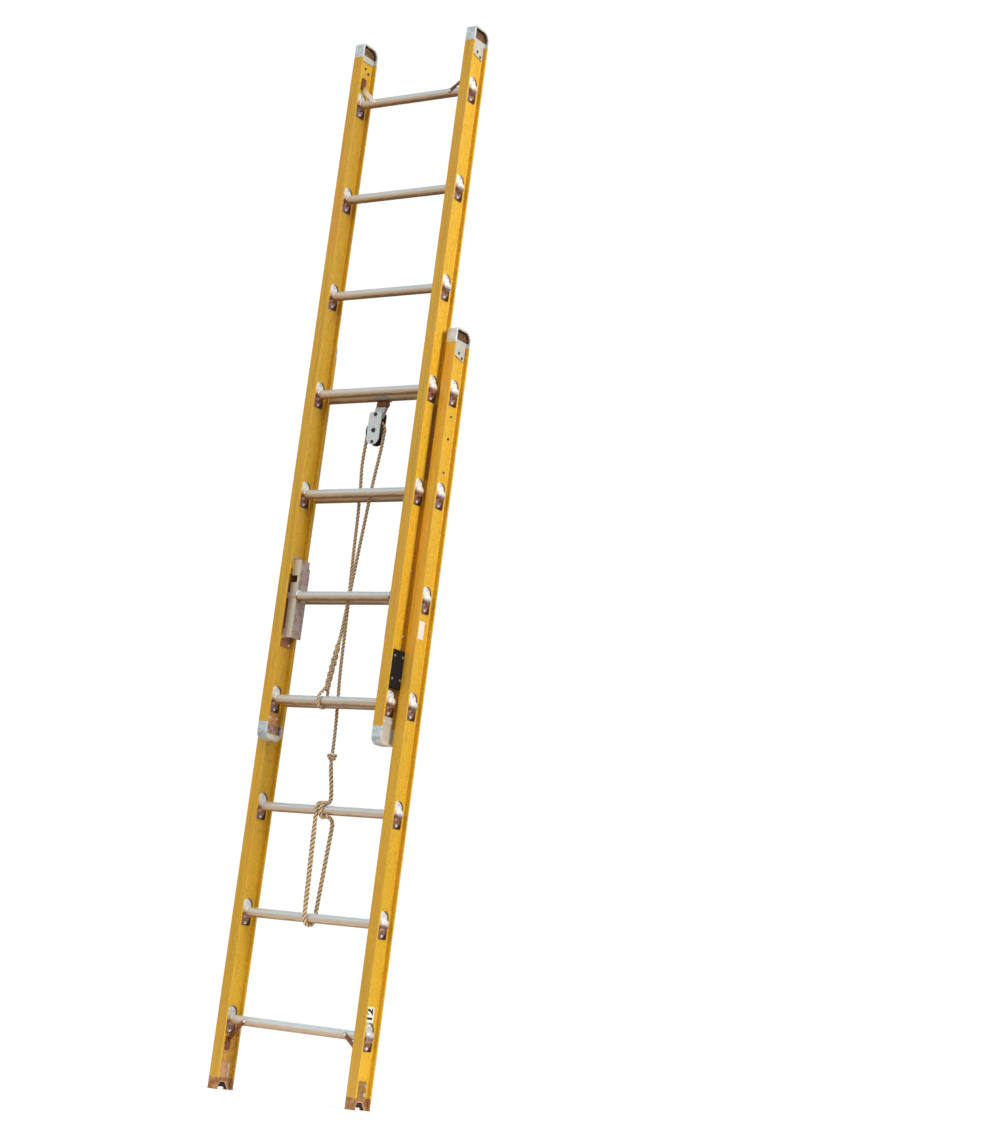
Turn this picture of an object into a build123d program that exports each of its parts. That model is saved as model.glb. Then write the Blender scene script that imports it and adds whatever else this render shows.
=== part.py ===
"""Two-section fibreglass extension ladder, with its rung locks, pulley and halyard.

The ladder stands upright in its own frame: +X runs along the rungs, +Y points away
from the climber and +Z up the rails. The feet stand on z = 0. Sizes are millimetres.
"""
import os
from math import cos, hypot, pi, radians, sin, tan

from build123d import *

os.makedirs("parts", exist_ok=True)

# Rungs
rung_pitch = 355.6
rung_count = 7
rungs_extended = 3
rung_radius = 15.875
rung_wall = 2.4
rung_fit = 0.15
foot_to_first_rung = 228.0

# Rails: an I section, with one web and two flanges
rail_depth = 86.0
rail_width = 37.5
web_thickness = 6.0
flange_thickness = 6.5
root_fillet = 3.0
edge_fillet = 1.5
rail_above_last_rung = 168.0
fly_rail_below_first_rung = 82.0

# How the two sections lie
fly_clear_width = 440.0
side_gap = 7.0
base_setback = 62.0

# Plates that hold each rung in its web
plate_width = 50.0
plate_height = 90.0
plate_thickness = 3.0
plate_top_corner = 23.0
plate_bottom_corner = 4.0
hub_height = 7.5
hub_base_radius = 23.5
hub_top_radius = 19.0
collar_radius = 19.5
collar_width = 3.6
dome_shoulder_radius = 16.0
dome_shoulder_height = 3.0
dome_top_radius = 9.0
dome_top_height = 2.0
plate_rivet_spacing = 72.0

# Rivets
rivet_radius = 3.2
rivet_head_radius = 5.4
rivet_head_height = 2.6
rivet_head_taper = 2.2
rivet_fit = 0.1

# Cast end caps
top_cap_rise = 52.0
bottom_cap_rise = 60.0
top_cap_front_corner = 12.0
top_cap_back_corner = 32.0
bottom_cap_corner = 27.0
cap_band = 6.5
cap_tongue_length = 51.0
cap_tongue_slant = 14.0
cap_tongue_thickness = 4.0
cap_inner_lip = 6.0
cap_edge_fillet = 1.2
cap_rivet_places = ((1.0, 28.0), (20.0, 41.0))
bottom_tongue_gap = 2.0
bottom_cap_rivet_offset = 17.0
tongue_side_gap = 4.0
tongue_fit = 0.1

# Steel feet
shoe_height = 38.0
shoe_wall = 7.0
shoe_tongue_length = 52.0
shoe_tongue_width = 46.0
shoe_recess_height = 25.0
shoe_recess_half_width = 31.0
shoe_recess_top_half_width = 13.0
shoe_notch_height = 8.0
shoe_notch_half_width = 24.0
shoe_notch_top_half_width = 18.0
tooth_count = 4
tooth_depth = 5.0
tooth_land = 3.0
shoe_bolt_radius = 4.0
shoe_bolt_places = (11.0, 38.0)
shoe_bolt_setback = 12.0
bolt_head_radius = 7.0
bolt_head_height = 4.5
bolt_head_taper = 1.0

# Diagonal straps that brace the end rungs
brace_plate_gap = 25.25
brace_foot_gap = 12.0
brace_fit = 0.2
brace_strap_width = 14.5
brace_strap_thickness = 2.2
brace_strap_gap = 0.65
brace_strap_start = 4.5
brace_rise = 68.0
brace_setback = 18.0
brace_bolt_radius = 2.5
brace_bolt_head_radius = 6.0
brace_bolt_head_height = 2.6
brace_bolt_head_taper = 1.6
brace_foot_length = 44.0
brace_foot_width = 22.0
brace_foot_thickness = 4.0

# Guides on the base that hold the back flange of each fly rail
guide_end_gap = 4.8
guide_plate = 4.0
guide_lip = 5.0
guide_reach = 35.0
guide_gap = 1.5
guide_tail = 33.0
guide_rivet_end = 30.0
guide_rivet_inset = 12.0
guide_rivet_lift = 20.0

# Slide blocks in the fly's outer channels
block_length = 124.0
block_above_rung = 49.0
block_proud = 4.0
block_fit = 0.2
screw_radius = 2.6
screw_head_radius = 4.6
screw_head_height = 2.0
screw_head_taper = 0.8
screw_spacing = 76.0
screw_lift = 4.0
screw_setbacks = (-28.0, 16.0)

# Rung locks on the fly
lock_reach = 24.0
lock_wall = 4.0
lock_top = 99.0
lock_bottom = 145.0
lock_front = 30.0
lock_back = 83.0
lock_wall_gap = 7.75
lock_lug_rise = 24.0
lock_lug_height = 30.0
lock_lug_width = 46.0
lock_tab_rise = 14.0
lock_tab_drop = 30.0
lock_window_height = 24.0
lock_rung_clearance = 0.5
lock_edge_fillet = 1.5
lock_rivet_offset = 14.4
lock_tab_screw_inset = 8.0
pivot_above_rung = 85.0
pivot_from_front = 70.0
pivot_radius = 5.0
pivot_fit = 0.06
pivot_head_radius = 8.0
pivot_head_height = 3.0
pivot_head_taper = 1.2
pawl_thickness = 14.0
pawl_half_width = 9.0
pawl_tilt = 5.0
pawl_rung_gap = 0.4
pawl_wall_gap = 2.0

# Pulley under the top rung of the base
pulley_x = -14.0
saddle_offset = 16.0
saddle_width = 46.0
saddle_strap = 4.0
saddle_fit = 0.2
knuckle_radius = 12.0
knuckle_corner = 7.0
knuckle_sink = 5.0
saddle_rivet_spacing = 28.0
tongue_top_width = 42.0
tongue_foot_width = 40.0
tongue_thickness = 14.0
hanger_pin_drop = 65.0
hanger_pin_radius = 4.5
hanger_pin_edge = 12.0
axle_drop = 121.0
axle_radius = 6.0
spacer_radius = 3.5
spacer_gap = 1.2
cheek_top_drop = 56.0
cheek_length = 115.0
cheek_width = 52.0
cheek_top_corner = 10.0
cheek_bottom_corner = 25.0
cheek_thickness = 3.0
cheek_gap = 24.0
pin_head_radius_extra = 2.5
pin_head_height = 3.0
pin_fit = 0.1
sheave_thickness = 21.0
sheave_rim = 0.6
sheave_groove_gap = 0.35
bush_wall = 3.0
bush_fit = 0.06

# Rope
halyard_radius = 6.2
halyard_turn_radius = 35.4
tail_radius = 7.0
eye_radius = 6.0
splice_radius = 13.5
knot_width = 38.0
knot_depth = 24.0
knot_height = 24.0
knot_fillet = 4.0
rope_joint_gap = 0.4

# Places worked out from the sizes above
fly_y = -base_setback / 2
base_y = base_setback / 2
fly_edge = fly_clear_width / 2
fly_web = fly_edge + rail_width / 2
base_edge = fly_edge + rail_width + side_gap
base_web = base_edge + rail_width / 2
recess = (rail_width - web_thickness) / 2
half_web = web_thickness / 2
base_rungs = [foot_to_first_rung + rung_pitch * n for n in range(rung_count)]
fly_rungs = [z + rung_pitch * rungs_extended for z in base_rungs]
base_rail_bottom = shoe_height
base_rail_top = base_rungs[-1] + rail_above_last_rung
fly_rail_bottom = fly_rungs[0] - fly_rail_below_first_rung
fly_rail_top = fly_rungs[-1] + rail_above_last_rung
channel_depth = rail_depth - 2 * flange_thickness
tongue_span = channel_depth - 2 * tongue_side_gap
bottom_tongue_length = fly_rail_below_first_rung - plate_height / 2 - bottom_tongue_gap
bottom_cap_rivet_places = tuple((way * bottom_cap_rivet_offset, bottom_tongue_length / 2) for way in (-1, 1))
plate_grip = web_thickness + 2 * plate_thickness
brace_run = plate_height / 2 + brace_plate_gap
top_cap_corners = (top_cap_front_corner, top_cap_back_corner)
bottom_cap_corners = (bottom_cap_corner, bottom_cap_corner)
cap_grip = web_thickness + 2 * (cap_tongue_thickness + tongue_fit)
top_cap_grip = web_thickness + cap_tongue_thickness + tongue_fit
top_cap_rivet_shift = (cap_tongue_thickness + tongue_fit) / 2
sides = {"left": -1, "right": 1}
along_x = (1, 0, 0)
along_y = (0, 1, 0)
from_end = (Align.CENTER, Align.CENTER, Align.MIN)


def keep(piece, name):
    """Label a finished piece and write it to its own file."""
    piece.part.label = name
    export_step(piece.part, f"parts/{name}.step")


def across(x, y, z):
    """Plane square to the rungs, with its local x along the depth and its local y up."""
    return Plane(origin=(x, y, z), x_dir=along_y, z_dir=along_x)


def facing(x, y, z):
    """Plane square to the depth, with its local x along the rungs and its local y up."""
    return Plane(origin=(x, y, z), x_dir=along_x, z_dir=(0, -1, 0))


def drill(centres, radius, length, axis=along_x):
    """Cut round holes about the given centres in the piece being made."""
    with Locations(*[Plane(origin=centre, z_dir=axis) for centre in centres]):
        Cylinder(radius, length, mode=Mode.SUBTRACT)


def headed_pins(centres, grip, axis, shank, head_radius, head_height, taper, ends=(-1, 1)):
    """Add headed pins, each through a grip centred on its place, with heads on the given ends."""
    step = Vector(*axis)
    with Locations(*[Plane(origin=centre, z_dir=axis) for centre in centres]):
        Cylinder(shank, grip)
    for way in ends:
        tips = [Vector(*centre) + step * (way * grip / 2) for centre in centres]
        with Locations(*[Plane(origin=tip, z_dir=step * way) for tip in tips]):
            Cone(head_radius, head_radius - taper, head_height, align=from_end)


def rivets(centres, grip, axis=along_x):
    """Add dome-headed rivets."""
    headed_pins(centres, grip, axis, rivet_radius, rivet_head_radius, rivet_head_height, rivet_head_taper)


def plate_rivet_places(web, y, heights):
    """Centres of the rivets above and below each rung on both rails."""
    offset = plate_rivet_spacing / 2
    return [(side * web, y, z + way * offset) for side in (-1, 1) for z in heights for way in (-1, 1)]


def cap_rivet_centres(web, y, end, way, places):
    """Centres of the rivets of a pair of caps at a rail end, way being +1 at the top."""
    return [(side * web, y + dy, end - way * dz) for side in (-1, 1) for dy, dz in places]


def guide_rivet_centres():
    """Centres of the rivets of both guides, half way through guide plate and web."""
    x = base_web - guide_plate / 2
    y = guide_back + guide_tail - guide_rivet_inset
    heights = (-guide_rivet_step, guide_rivet_lift, guide_rivet_step)
    return [(side * x, y, guide_middle + up) for side in (-1, 1) for up in heights]


def lock_rivet_centres():
    """Centres of the rivets that hold both lock housings to the fly webs."""
    x = fly_web - lock_lug_thickness / 2
    return [(side * x, pivot_y, lock_rung - lock_bottom + lock_rivet_offset) for side in (-1, 1)]


def lock_screw_centres(side):
    """Centres of the two screws in the tabs of one lock housing, flush with the outer face of the web."""
    x = side * (fly_web - lock_lug_thickness / 2)
    heights = (lock_rung + lock_top + lock_lug_rise + lock_tab_rise - lock_tab_screw_inset,
               lock_rung - lock_bottom - lock_tab_drop + lock_tab_screw_inset)
    return [(x, pivot_y, z) for z in heights]


# Guides: where they lie
fly_back = fly_y + rail_depth / 2
guide_front = fly_back - flange_thickness - guide_gap - guide_lip
guide_back = fly_back + guide_gap + guide_lip
guide_middle = (base_rungs[-1] + base_rungs[-2]) / 2
guide_grip = web_thickness + guide_plate
guide_length = rung_pitch - plate_height - 2 * guide_end_gap
guide_rivet_step = guide_length / 2 - guide_rivet_end

# Locks: where they lie
lock_rung = fly_rungs[1]
fly_plated = [z for z in fly_rungs if z != lock_rung]
lock_inner = fly_edge - lock_reach
lock_lug_thickness = cap_tongue_thickness
lock_grip = web_thickness + lock_lug_thickness
fly_front = fly_y - rail_depth / 2
pivot_y = fly_front + pivot_from_front
pivot_z = lock_rung + pivot_above_rung


def rail(name, side, web, y, bottom, top, heights, holes):
    """One rail with its rung holes and fastener holes."""
    with BuildPart() as piece:
        with BuildSketch(Plane.XY.offset(bottom)) as section:
            with Locations((side * web, y)):
                Rectangle(rail_width, rail_depth)
            hollow = [(side * web + way * (half_web + recess / 2), y) for way in (-1, 1)]
            with Locations(*hollow):
                Rectangle(recess, channel_depth, mode=Mode.SUBTRACT)
            corners = section.vertices()
            roots = corners.filter_by(lambda v: abs(abs(v.X - side * web) - half_web) < recess / 4)
            edges = corners.filter_by(lambda v: abs(abs(v.X - side * web) - half_web) >= recess / 4)
            fillet(roots, root_fillet)
            fillet(edges, edge_fillet)
        extrude(amount=top - bottom)
        cut = web_thickness * 2
        drill([(side * web, y, z) for z in heights], rung_radius + rung_fit, cut)
        for centres, radius in holes:
            drill([(side * web, c[1], c[2]) for c in centres if c[0] * side > 0], radius + rivet_fit, cut)
    keep(piece, name)


def hub_face(web):
    """Distance from the middle to the outer face of the hubs of a section."""
    return web + half_web + plate_thickness + hub_height


def brace_places(web, y, z):
    """Where the bolts of the two diagonal straps of an end rung cross its axis."""
    edge = web - half_web - brace_foot_thickness / 2 - brace_run
    return [(side * edge, y, z) for side in (-1, 1)]


def rung(name, half, y, z, braced_web=None, cross_holes=()):
    """One rung: a tube of the given half length, drilled for the bolts and rivets that pass it."""
    with BuildPart() as piece:
        with BuildSketch(across(-half, y, z)):
            Circle(rung_radius)
            Circle(rung_radius - rung_wall, mode=Mode.SUBTRACT)
        extrude(amount=2 * half)
        if braced_web:
            drill(brace_places(braced_web, y, z), brace_bolt_radius + rivet_fit, 4 * rung_radius, along_y)
        if cross_holes:
            drill(cross_holes, rivet_radius + rivet_fit, 4 * rung_radius, along_y)
    keep(piece, name)


def rung_plates(name, web, y, heights):
    """All the hubbed plates of one section, one on each face of each web at each rung."""
    with BuildPart() as piece:
        for side in (-1, 1):
            for face in (-1, 1):
                x = side * web + face * half_web
                start = [across(x, y, z) for z in heights]
                with BuildSketch(*start) as outline:
                    Rectangle(plate_width, plate_height)
                    fillet(outline.vertices().group_by(Axis.Y)[-1], plate_top_corner)
                    fillet(outline.vertices().group_by(Axis.Y)[0], plate_bottom_corner)
                    with Locations((0, plate_rivet_spacing / 2), (0, -plate_rivet_spacing / 2)):
                        Circle(rivet_radius + rivet_fit, mode=Mode.SUBTRACT)
                extrude(amount=face * plate_thickness)
                hub = x + face * plate_thickness
                with Locations(*[Plane(origin=(hub, y, z), z_dir=(face, 0, 0)) for z in heights]):
                    Cone(hub_base_radius, hub_top_radius, hub_height, align=from_end)
            reach = web_thickness + 4 * (plate_thickness + hub_height)
            drill([(side * web, y, z) for z in heights], rung_radius + rung_fit, reach)
    keep(piece, name)


def rung_collars(name, web, y, heights, lock_heights=()):
    """The collars inside the hubs or lock plates, and the stepped domes that close the rung ends."""
    inner = web - half_web - plate_thickness - hub_height
    outer = hub_face(web)
    bore = rung_radius + rung_fit
    shoulder = outer + dome_shoulder_height
    seats = [(z, inner) for z in heights] + [(z, lock_inner) for z in lock_heights]
    with BuildPart() as piece:
        for z, seat in seats:
            with BuildSketch(facing(0, y, z)) as profile:
                x = seat - collar_width / 2
                with Locations((-x, (collar_radius + bore) / 2), (x, (collar_radius + bore) / 2)):
                    Rectangle(collar_width, collar_radius - bore)
                fillet(profile.vertices().group_by(Axis.Y)[-1], collar_width * 0.45)
            revolve(axis=Axis((0, y, z), along_x))
        for side in (-1, 1):
            with Locations(*[Plane(origin=(side * outer, y, z), z_dir=(side, 0, 0)) for z in heights]):
                Cone(collar_radius, dome_shoulder_radius, dome_shoulder_height, align=from_end)
            with Locations(*[Plane(origin=(side * shoulder, y, z), z_dir=(side, 0, 0)) for z in heights]):
                Cone(dome_shoulder_radius, dome_top_radius, dome_top_height, align=from_end)
    keep(piece, name)


def round_outer_corners(outline, way, front, back):
    """Round the two corners of a cap's outline that lie away from the rail, at the front and at the back."""
    for radius, corner in ((front, 0), (back, -1)):
        outer = outline.vertices().group_by(Axis.Y)[-1 if way > 0 else 0]
        fillet(outer.sort_by(Axis.X)[corner], radius)


def end_cap(name, side, web, y, end, way, rise, corners, tongue_length, slant, inner_length, rivet_places):
    """A cast cap on a rail end, way being +1 at the top, with a tongue down each face of the web."""
    x = side * web
    front, back = corners
    core = web_thickness / 2 + cap_tongue_thickness + tongue_fit
    with BuildPart() as piece:
        with BuildSketch(across(x, y, end + way * rise / 2)) as outline:
            Rectangle(rail_depth, rise)
            round_outer_corners(outline, way, front, back)
        extrude(amount=rail_width / 2, both=True)
        for face in (-1, 1):
            with BuildSketch(across(x + face * core, y, end + way * rise / 2)) as pocket:
                inner_rise = rise - cap_band
                with Locations((0, -way * (cap_band / 2))):
                    Rectangle(rail_depth - 2 * cap_band, inner_rise)
                round_outer_corners(pocket, way, front - cap_band, back - cap_band)
            extrude(amount=face * (rail_width / 2 - core), mode=Mode.SUBTRACT)
        arcs = piece.edges().filter_by(GeomType.CIRCLE)
        fillet(arcs.filter_by(lambda edge: abs(edge.radius - back) < cap_band / 2), cap_edge_fillet)
        half = tongue_span / 2
        for face, length, short in ((side, tongue_length, slant), (-side, inner_length, 0)):
            with BuildSketch(across(x + face * (half_web + tongue_fit), y, end)):
                with BuildLine():
                    Polyline((-half, 0), (-half, -way * (length - short)), (half, -way * length), (half, 0),
                             close=True)
                make_face()
            extrude(amount=face * cap_tongue_thickness)
        places = [(x, y + dy, end - way * dz) for dy, dz in rivet_places]
        drill(places, rivet_radius + rivet_fit, 4 * core)
    keep(piece, name)


def butt_spur(name, side):
    """The steel foot of one base rail: a walled shoe with teeth, a notched web and bolted tongues."""
    x = side * base_web
    core = half_web + cap_tongue_thickness + tongue_fit
    wall_y = rail_depth / 2 - shoe_wall / 2
    tooth_pitch = rail_width / tooth_count
    with BuildPart() as piece:
        with BuildSketch(Plane.XY):
            with Locations((x, base_y + wall_y), (x, base_y - wall_y)):
                Rectangle(rail_width, shoe_wall)
            with Locations((x, base_y)):
                Rectangle(2 * core, rail_depth - shoe_wall)
        extrude(amount=shoe_height)
        with BuildSketch(across(x, base_y, 0)):
            with BuildLine():
                Polyline((-shoe_notch_half_width, 0), (-shoe_notch_top_half_width, shoe_notch_height),
                         (shoe_notch_top_half_width, shoe_notch_height), (shoe_notch_half_width, 0),
                         close=True)
            make_face()
        extrude(amount=rail_width, both=True, mode=Mode.SUBTRACT)
        for face in (-1, 1):
            with BuildSketch(across(x + face * core, base_y, 0)):
                with BuildLine():
                    Polyline((-shoe_recess_half_width, 0), (-shoe_recess_top_half_width, shoe_recess_height),
                             (shoe_recess_top_half_width, shoe_recess_height), (shoe_recess_half_width, 0),
                             close=True)
                make_face()
            extrude(amount=-face * (core - half_web), mode=Mode.SUBTRACT)
        with BuildSketch(facing(x, base_y, 0)):
            gap_half = (tooth_pitch - tooth_land) / 2
            with Locations(*[(n * tooth_pitch - rail_width / 2, 0) for n in range(1, tooth_count)]):
                with BuildLine():
                    Polyline((-gap_half, 0), (0, tooth_depth), (gap_half, 0), close=True)
                make_face()
        extrude(amount=rail_depth, both=True, mode=Mode.SUBTRACT)
        for face in (-1, 1):
            plane = across(x + face * (half_web + tongue_fit), base_y, shoe_height + shoe_tongue_length / 2)
            with BuildSketch(plane) as tongue:
                Rectangle(shoe_tongue_width, shoe_tongue_length)
                fillet(tongue.vertices().group_by(Axis.Y)[-1], tongue_side_gap)
            extrude(amount=face * cap_tongue_thickness)
        places = [(x, base_y + shoe_bolt_setback, shoe_height + up) for up in shoe_bolt_places]
        drill(places, shoe_bolt_radius + rivet_fit, 4 * core)
    keep(piece, name)


def rung_braces(name, web, y, z, way):
    """A pair of flat diagonal straps from an end rung to the webs, way being +1 where they rise outwards."""
    face_x = web - half_web
    places = brace_places(web, y, z)
    reach = face_x - places[1][0]
    length = hypot(reach, brace_rise, brace_setback)
    eye_front = y - rung_radius - brace_fit - brace_strap_thickness
    strap_front = y - rung_radius - brace_strap_gap - brace_strap_thickness
    foot_z = z + way * (plate_height / 2 + brace_foot_gap + brace_foot_length / 2)
    end = length + brace_strap_width / 2
    with BuildPart() as piece:
        for side, place in zip((-1, 1), places):
            along = Vector(side * reach, brace_setback, way * brace_rise).normalized()
            facing_out = Vector(0, -brace_rise, way * brace_setback).normalized()
            with BuildSketch(Plane(origin=(place[0], strap_front, z), x_dir=along, z_dir=facing_out)):
                with Locations(((brace_strap_start + end) / 2, 0)):
                    Rectangle(end - brace_strap_start, brace_strap_width)
            extrude(amount=-brace_strap_thickness)
            with BuildSketch(facing(place[0], eye_front, z)):
                Circle(brace_strap_width / 2)
            extrude(amount=-brace_strap_thickness)
            with BuildSketch(across(side * face_x, y, foot_z)):
                RectangleRounded(brace_foot_width, brace_foot_length, brace_foot_thickness / 2)
            extrude(amount=-side * brace_foot_thickness)
        with Locations(*[(side * (face_x + web_thickness), y, foot_z) for side in (-1, 1)]):
            Box(2 * web_thickness, 2 * rail_depth, 2 * length, mode=Mode.SUBTRACT)
        drill(places, brace_bolt_radius + rivet_fit, 4 * rung_radius, along_y)
    keep(piece, name)


def brace_bolts(web, y, z):
    """Add the cross bolts that hold the straps of an end rung."""
    held = brace_fit + brace_strap_thickness
    centres = [(p[0], p[1] - held / 2, p[2]) for p in brace_places(web, y, z)]
    headed_pins(centres, 2 * rung_radius + held, along_y, brace_bolt_radius,
                brace_bolt_head_radius, brace_bolt_head_height, brace_bolt_head_taper)


def fly_guide(name, side):
    """A riveted guide on a base web whose two lips take the back flange of the fly rail between them."""
    web_face = side * (base_web - half_web)
    low = guide_middle - guide_length / 2
    lip_reach = guide_reach - guide_plate
    with BuildPart() as piece:
        with BuildSketch(Plane.XY.offset(low)):
            tail = guide_back + guide_tail
            with Locations((web_face - side * guide_plate / 2, (guide_front + tail) / 2)):
                Rectangle(guide_plate, tail - guide_front)
            lips = (guide_front + guide_lip / 2, guide_back - guide_lip / 2)
            with Locations(*[(web_face - side * (guide_plate + lip_reach / 2), y) for y in lips]):
                Rectangle(lip_reach, guide_lip)
        extrude(amount=guide_length)
        own = [c for c in guide_rivet_centres() if c[0] * side > 0]
        drill(own, rivet_radius + rivet_fit, 4 * guide_grip)
    keep(piece, name)


def slide_blocks(name):
    """Two plain bearing blocks that fill the fly's outer channels and stand a little proud of them."""
    low = fly_rungs[0] + block_above_rung
    inner = fly_web + half_web
    depth = recess + block_proud
    with BuildPart() as piece:
        for side in (-1, 1):
            with BuildSketch(Plane.XY.offset(low)):
                with Locations((side * (inner + depth / 2), fly_y)):
                    RectangleRounded(depth, channel_depth - 2 * block_fit, root_fillet)
            extrude(amount=block_length)
        drill(screw_centres(), screw_radius + rivet_fit, 3 * depth)
        seats = [(side * (inner + depth), y, z) for side, y, z in screw_seats()]
        drill(seats, screw_head_radius + rivet_fit, 2 * screw_head_height)
    keep(piece, name)


def screw_seats():
    """Side, depth and height of each slide block screw."""
    middle = fly_rungs[0] + block_above_rung + block_length / 2 + screw_lift
    return [(side, fly_y + setback, middle + way * screw_spacing / 2)
            for side in (-1, 1) for setback in screw_setbacks for way in (-1, 1)]


def screw_centres():
    """Centres of the slide block screws, half way through block and web."""
    inner = fly_web - half_web
    outer = fly_web + half_web + recess + block_proud - screw_head_height
    return [(side * (inner + outer) / 2, y, z) for side, y, z in screw_seats()]


def lock_housing(name, side):
    """The open-backed housing of one rung lock, riveted to the fly web above and below its rung."""
    plate_x = side * (lock_inner + lock_wall / 2)
    low = lock_rung - lock_bottom
    high = lock_rung + lock_top
    front = fly_front + lock_front
    back = fly_front + lock_back
    middle_z = (low + high) / 2
    wall_end = fly_web - half_web - lock_wall_gap
    web_face = fly_web - half_web
    lug_top = high + lock_lug_rise
    lugs = ((lug_top - lock_lug_height, lug_top, 0, lock_tab_rise),
            (low, low + lock_lug_height, lock_tab_drop, 0))
    with BuildPart() as piece:
        with BuildSketch(across(plate_x, (front + back) / 2, middle_z)):
            RectangleRounded(back - front, high - low, lock_edge_fillet)
        extrude(amount=lock_wall / 2, both=True)
        wall_middle = (lock_inner + wall_end) / 2
        with BuildSketch(facing(side * wall_middle, front, middle_z)):
            Rectangle(wall_end - lock_inner, high - low)
            window = high - middle_z - lock_lug_height - lock_window_height / 2
            with Locations((side * lock_wall, window)):
                Rectangle(wall_end - lock_inner - 2 * lock_wall, lock_window_height, mode=Mode.SUBTRACT)
        extrude(amount=-lock_wall)
        for bottom, top, below, above in lugs:
            span = top - bottom
            arm = web_face - lock_inner
            with BuildSketch(facing(side * (lock_inner + arm / 2), front, (bottom + top) / 2)):
                Rectangle(arm, span)
            extrude(amount=-lock_wall)
            tab_middle = (bottom - below + top + above) / 2
            with BuildSketch(across(side * web_face, front + lock_lug_width / 2, tab_middle)):
                Rectangle(lock_lug_width, span + below + above)
            extrude(amount=-side * lock_lug_thickness)
            with BuildSketch(across(plate_x, front + lock_lug_width / 2, (bottom + top) / 2)):
                Rectangle(lock_lug_width, span)
            extrude(amount=lock_wall / 2, both=True)
        drill([(side * lock_inner, fly_y, lock_rung)], rung_radius + lock_rung_clearance,
              4 * (web_face - lock_inner))
        drill([(plate_x, pivot_y, pivot_z)], pivot_radius + pin_fit, 4 * lock_wall)
        own = [c for c in lock_rivet_centres() if c[0] * side > 0]
        drill(own + lock_screw_centres(side), rivet_radius + rivet_fit, 2 * lock_grip)
    keep(piece, name)


def pawl(name, side):
    """One gravity pawl, hanging clear of the base rungs and reaching over one when it swings back."""
    drop = pivot_z - lock_rung
    setback = base_y - pivot_y
    reach = hypot(drop, setback) - rung_radius - pawl_rung_gap
    tilt = radians(pawl_tilt)
    centre_x = side * (lock_inner + lock_wall + pawl_wall_gap + pawl_thickness / 2)
    slope = Plane(origin=(centre_x, pivot_y, pivot_z), x_dir=(0, cos(tilt), sin(tilt)), z_dir=along_x)
    with BuildPart() as piece:
        with BuildSketch(slope):
            Circle(pawl_half_width)
            with Locations((0, -reach / 2)):
                Rectangle(2 * pawl_half_width, reach)
            Circle(reach, mode=Mode.INTERSECT)
            Circle(pivot_radius + pivot_fit, mode=Mode.SUBTRACT)
        extrude(amount=pawl_thickness / 2, both=True)
    keep(piece, name)


def pulley_hanger():
    """The saddle under the top base rung, with its round knuckle and the tongue that carries the block."""
    z = base_rungs[-1]
    inner = rung_radius + saddle_fit
    outer = inner + saddle_strap
    saddle_x = pulley_x + saddle_offset
    foot = hanger_pin_drop
    with BuildPart() as piece:
        with BuildSketch(across(saddle_x, base_y, z)):
            Circle(outer)
            Circle(inner, mode=Mode.SUBTRACT)
            with Locations((0, outer)):
                Rectangle(2 * outer, 2 * outer, mode=Mode.SUBTRACT)
            ears = inner + saddle_strap / 2
            with Locations((ears, rivet_head_radius), (-ears, rivet_head_radius)):
                Rectangle(saddle_strap, 2 * rivet_head_radius)
        extrude(amount=saddle_width / 2, both=True)
        knuckle_drop = outer + knuckle_radius - knuckle_sink
        with BuildSketch(facing(saddle_x, base_y, z - knuckle_drop)) as knuckle:
            with Locations((0, knuckle_radius / 2)):
                Rectangle(saddle_width, knuckle_radius)
            fillet(knuckle.vertices().group_by(Axis.Y)[-1], knuckle_corner)
        revolve(axis=Axis((saddle_x, base_y, z - knuckle_drop), along_x))
        with BuildSketch(facing(pulley_x, base_y, z)):
            shoulder = -knuckle_drop
            half_top = tongue_top_width / 2
            half_foot = tongue_foot_width / 2
            with BuildLine():
                Polyline((saddle_offset - half_top, shoulder), (saddle_offset + half_top, shoulder),
                         (half_foot, -foot - hanger_pin_edge), (-half_foot, -foot - hanger_pin_edge),
                         close=True)
            make_face()
        extrude(amount=tongue_thickness / 2, both=True)
        drill([(0, base_y, z)], inner, 4 * fly_clear_width)
        drill([(pulley_x, base_y, z - foot)], hanger_pin_radius + pivot_fit, 2 * tongue_thickness, along_y)
        drill(saddle_rivet_centres(), rivet_radius + rivet_fit, 4 * outer, along_y)
    keep(piece, "pulley_hanger")


def saddle_rivet_centres():
    """Centres of the two rivets that hold the saddle to the rung."""
    x = pulley_x + saddle_offset
    z = base_rungs[-1] + rivet_head_radius
    return [(x + way * saddle_rivet_spacing / 2, base_y, z) for way in (-1, 1)]


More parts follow.
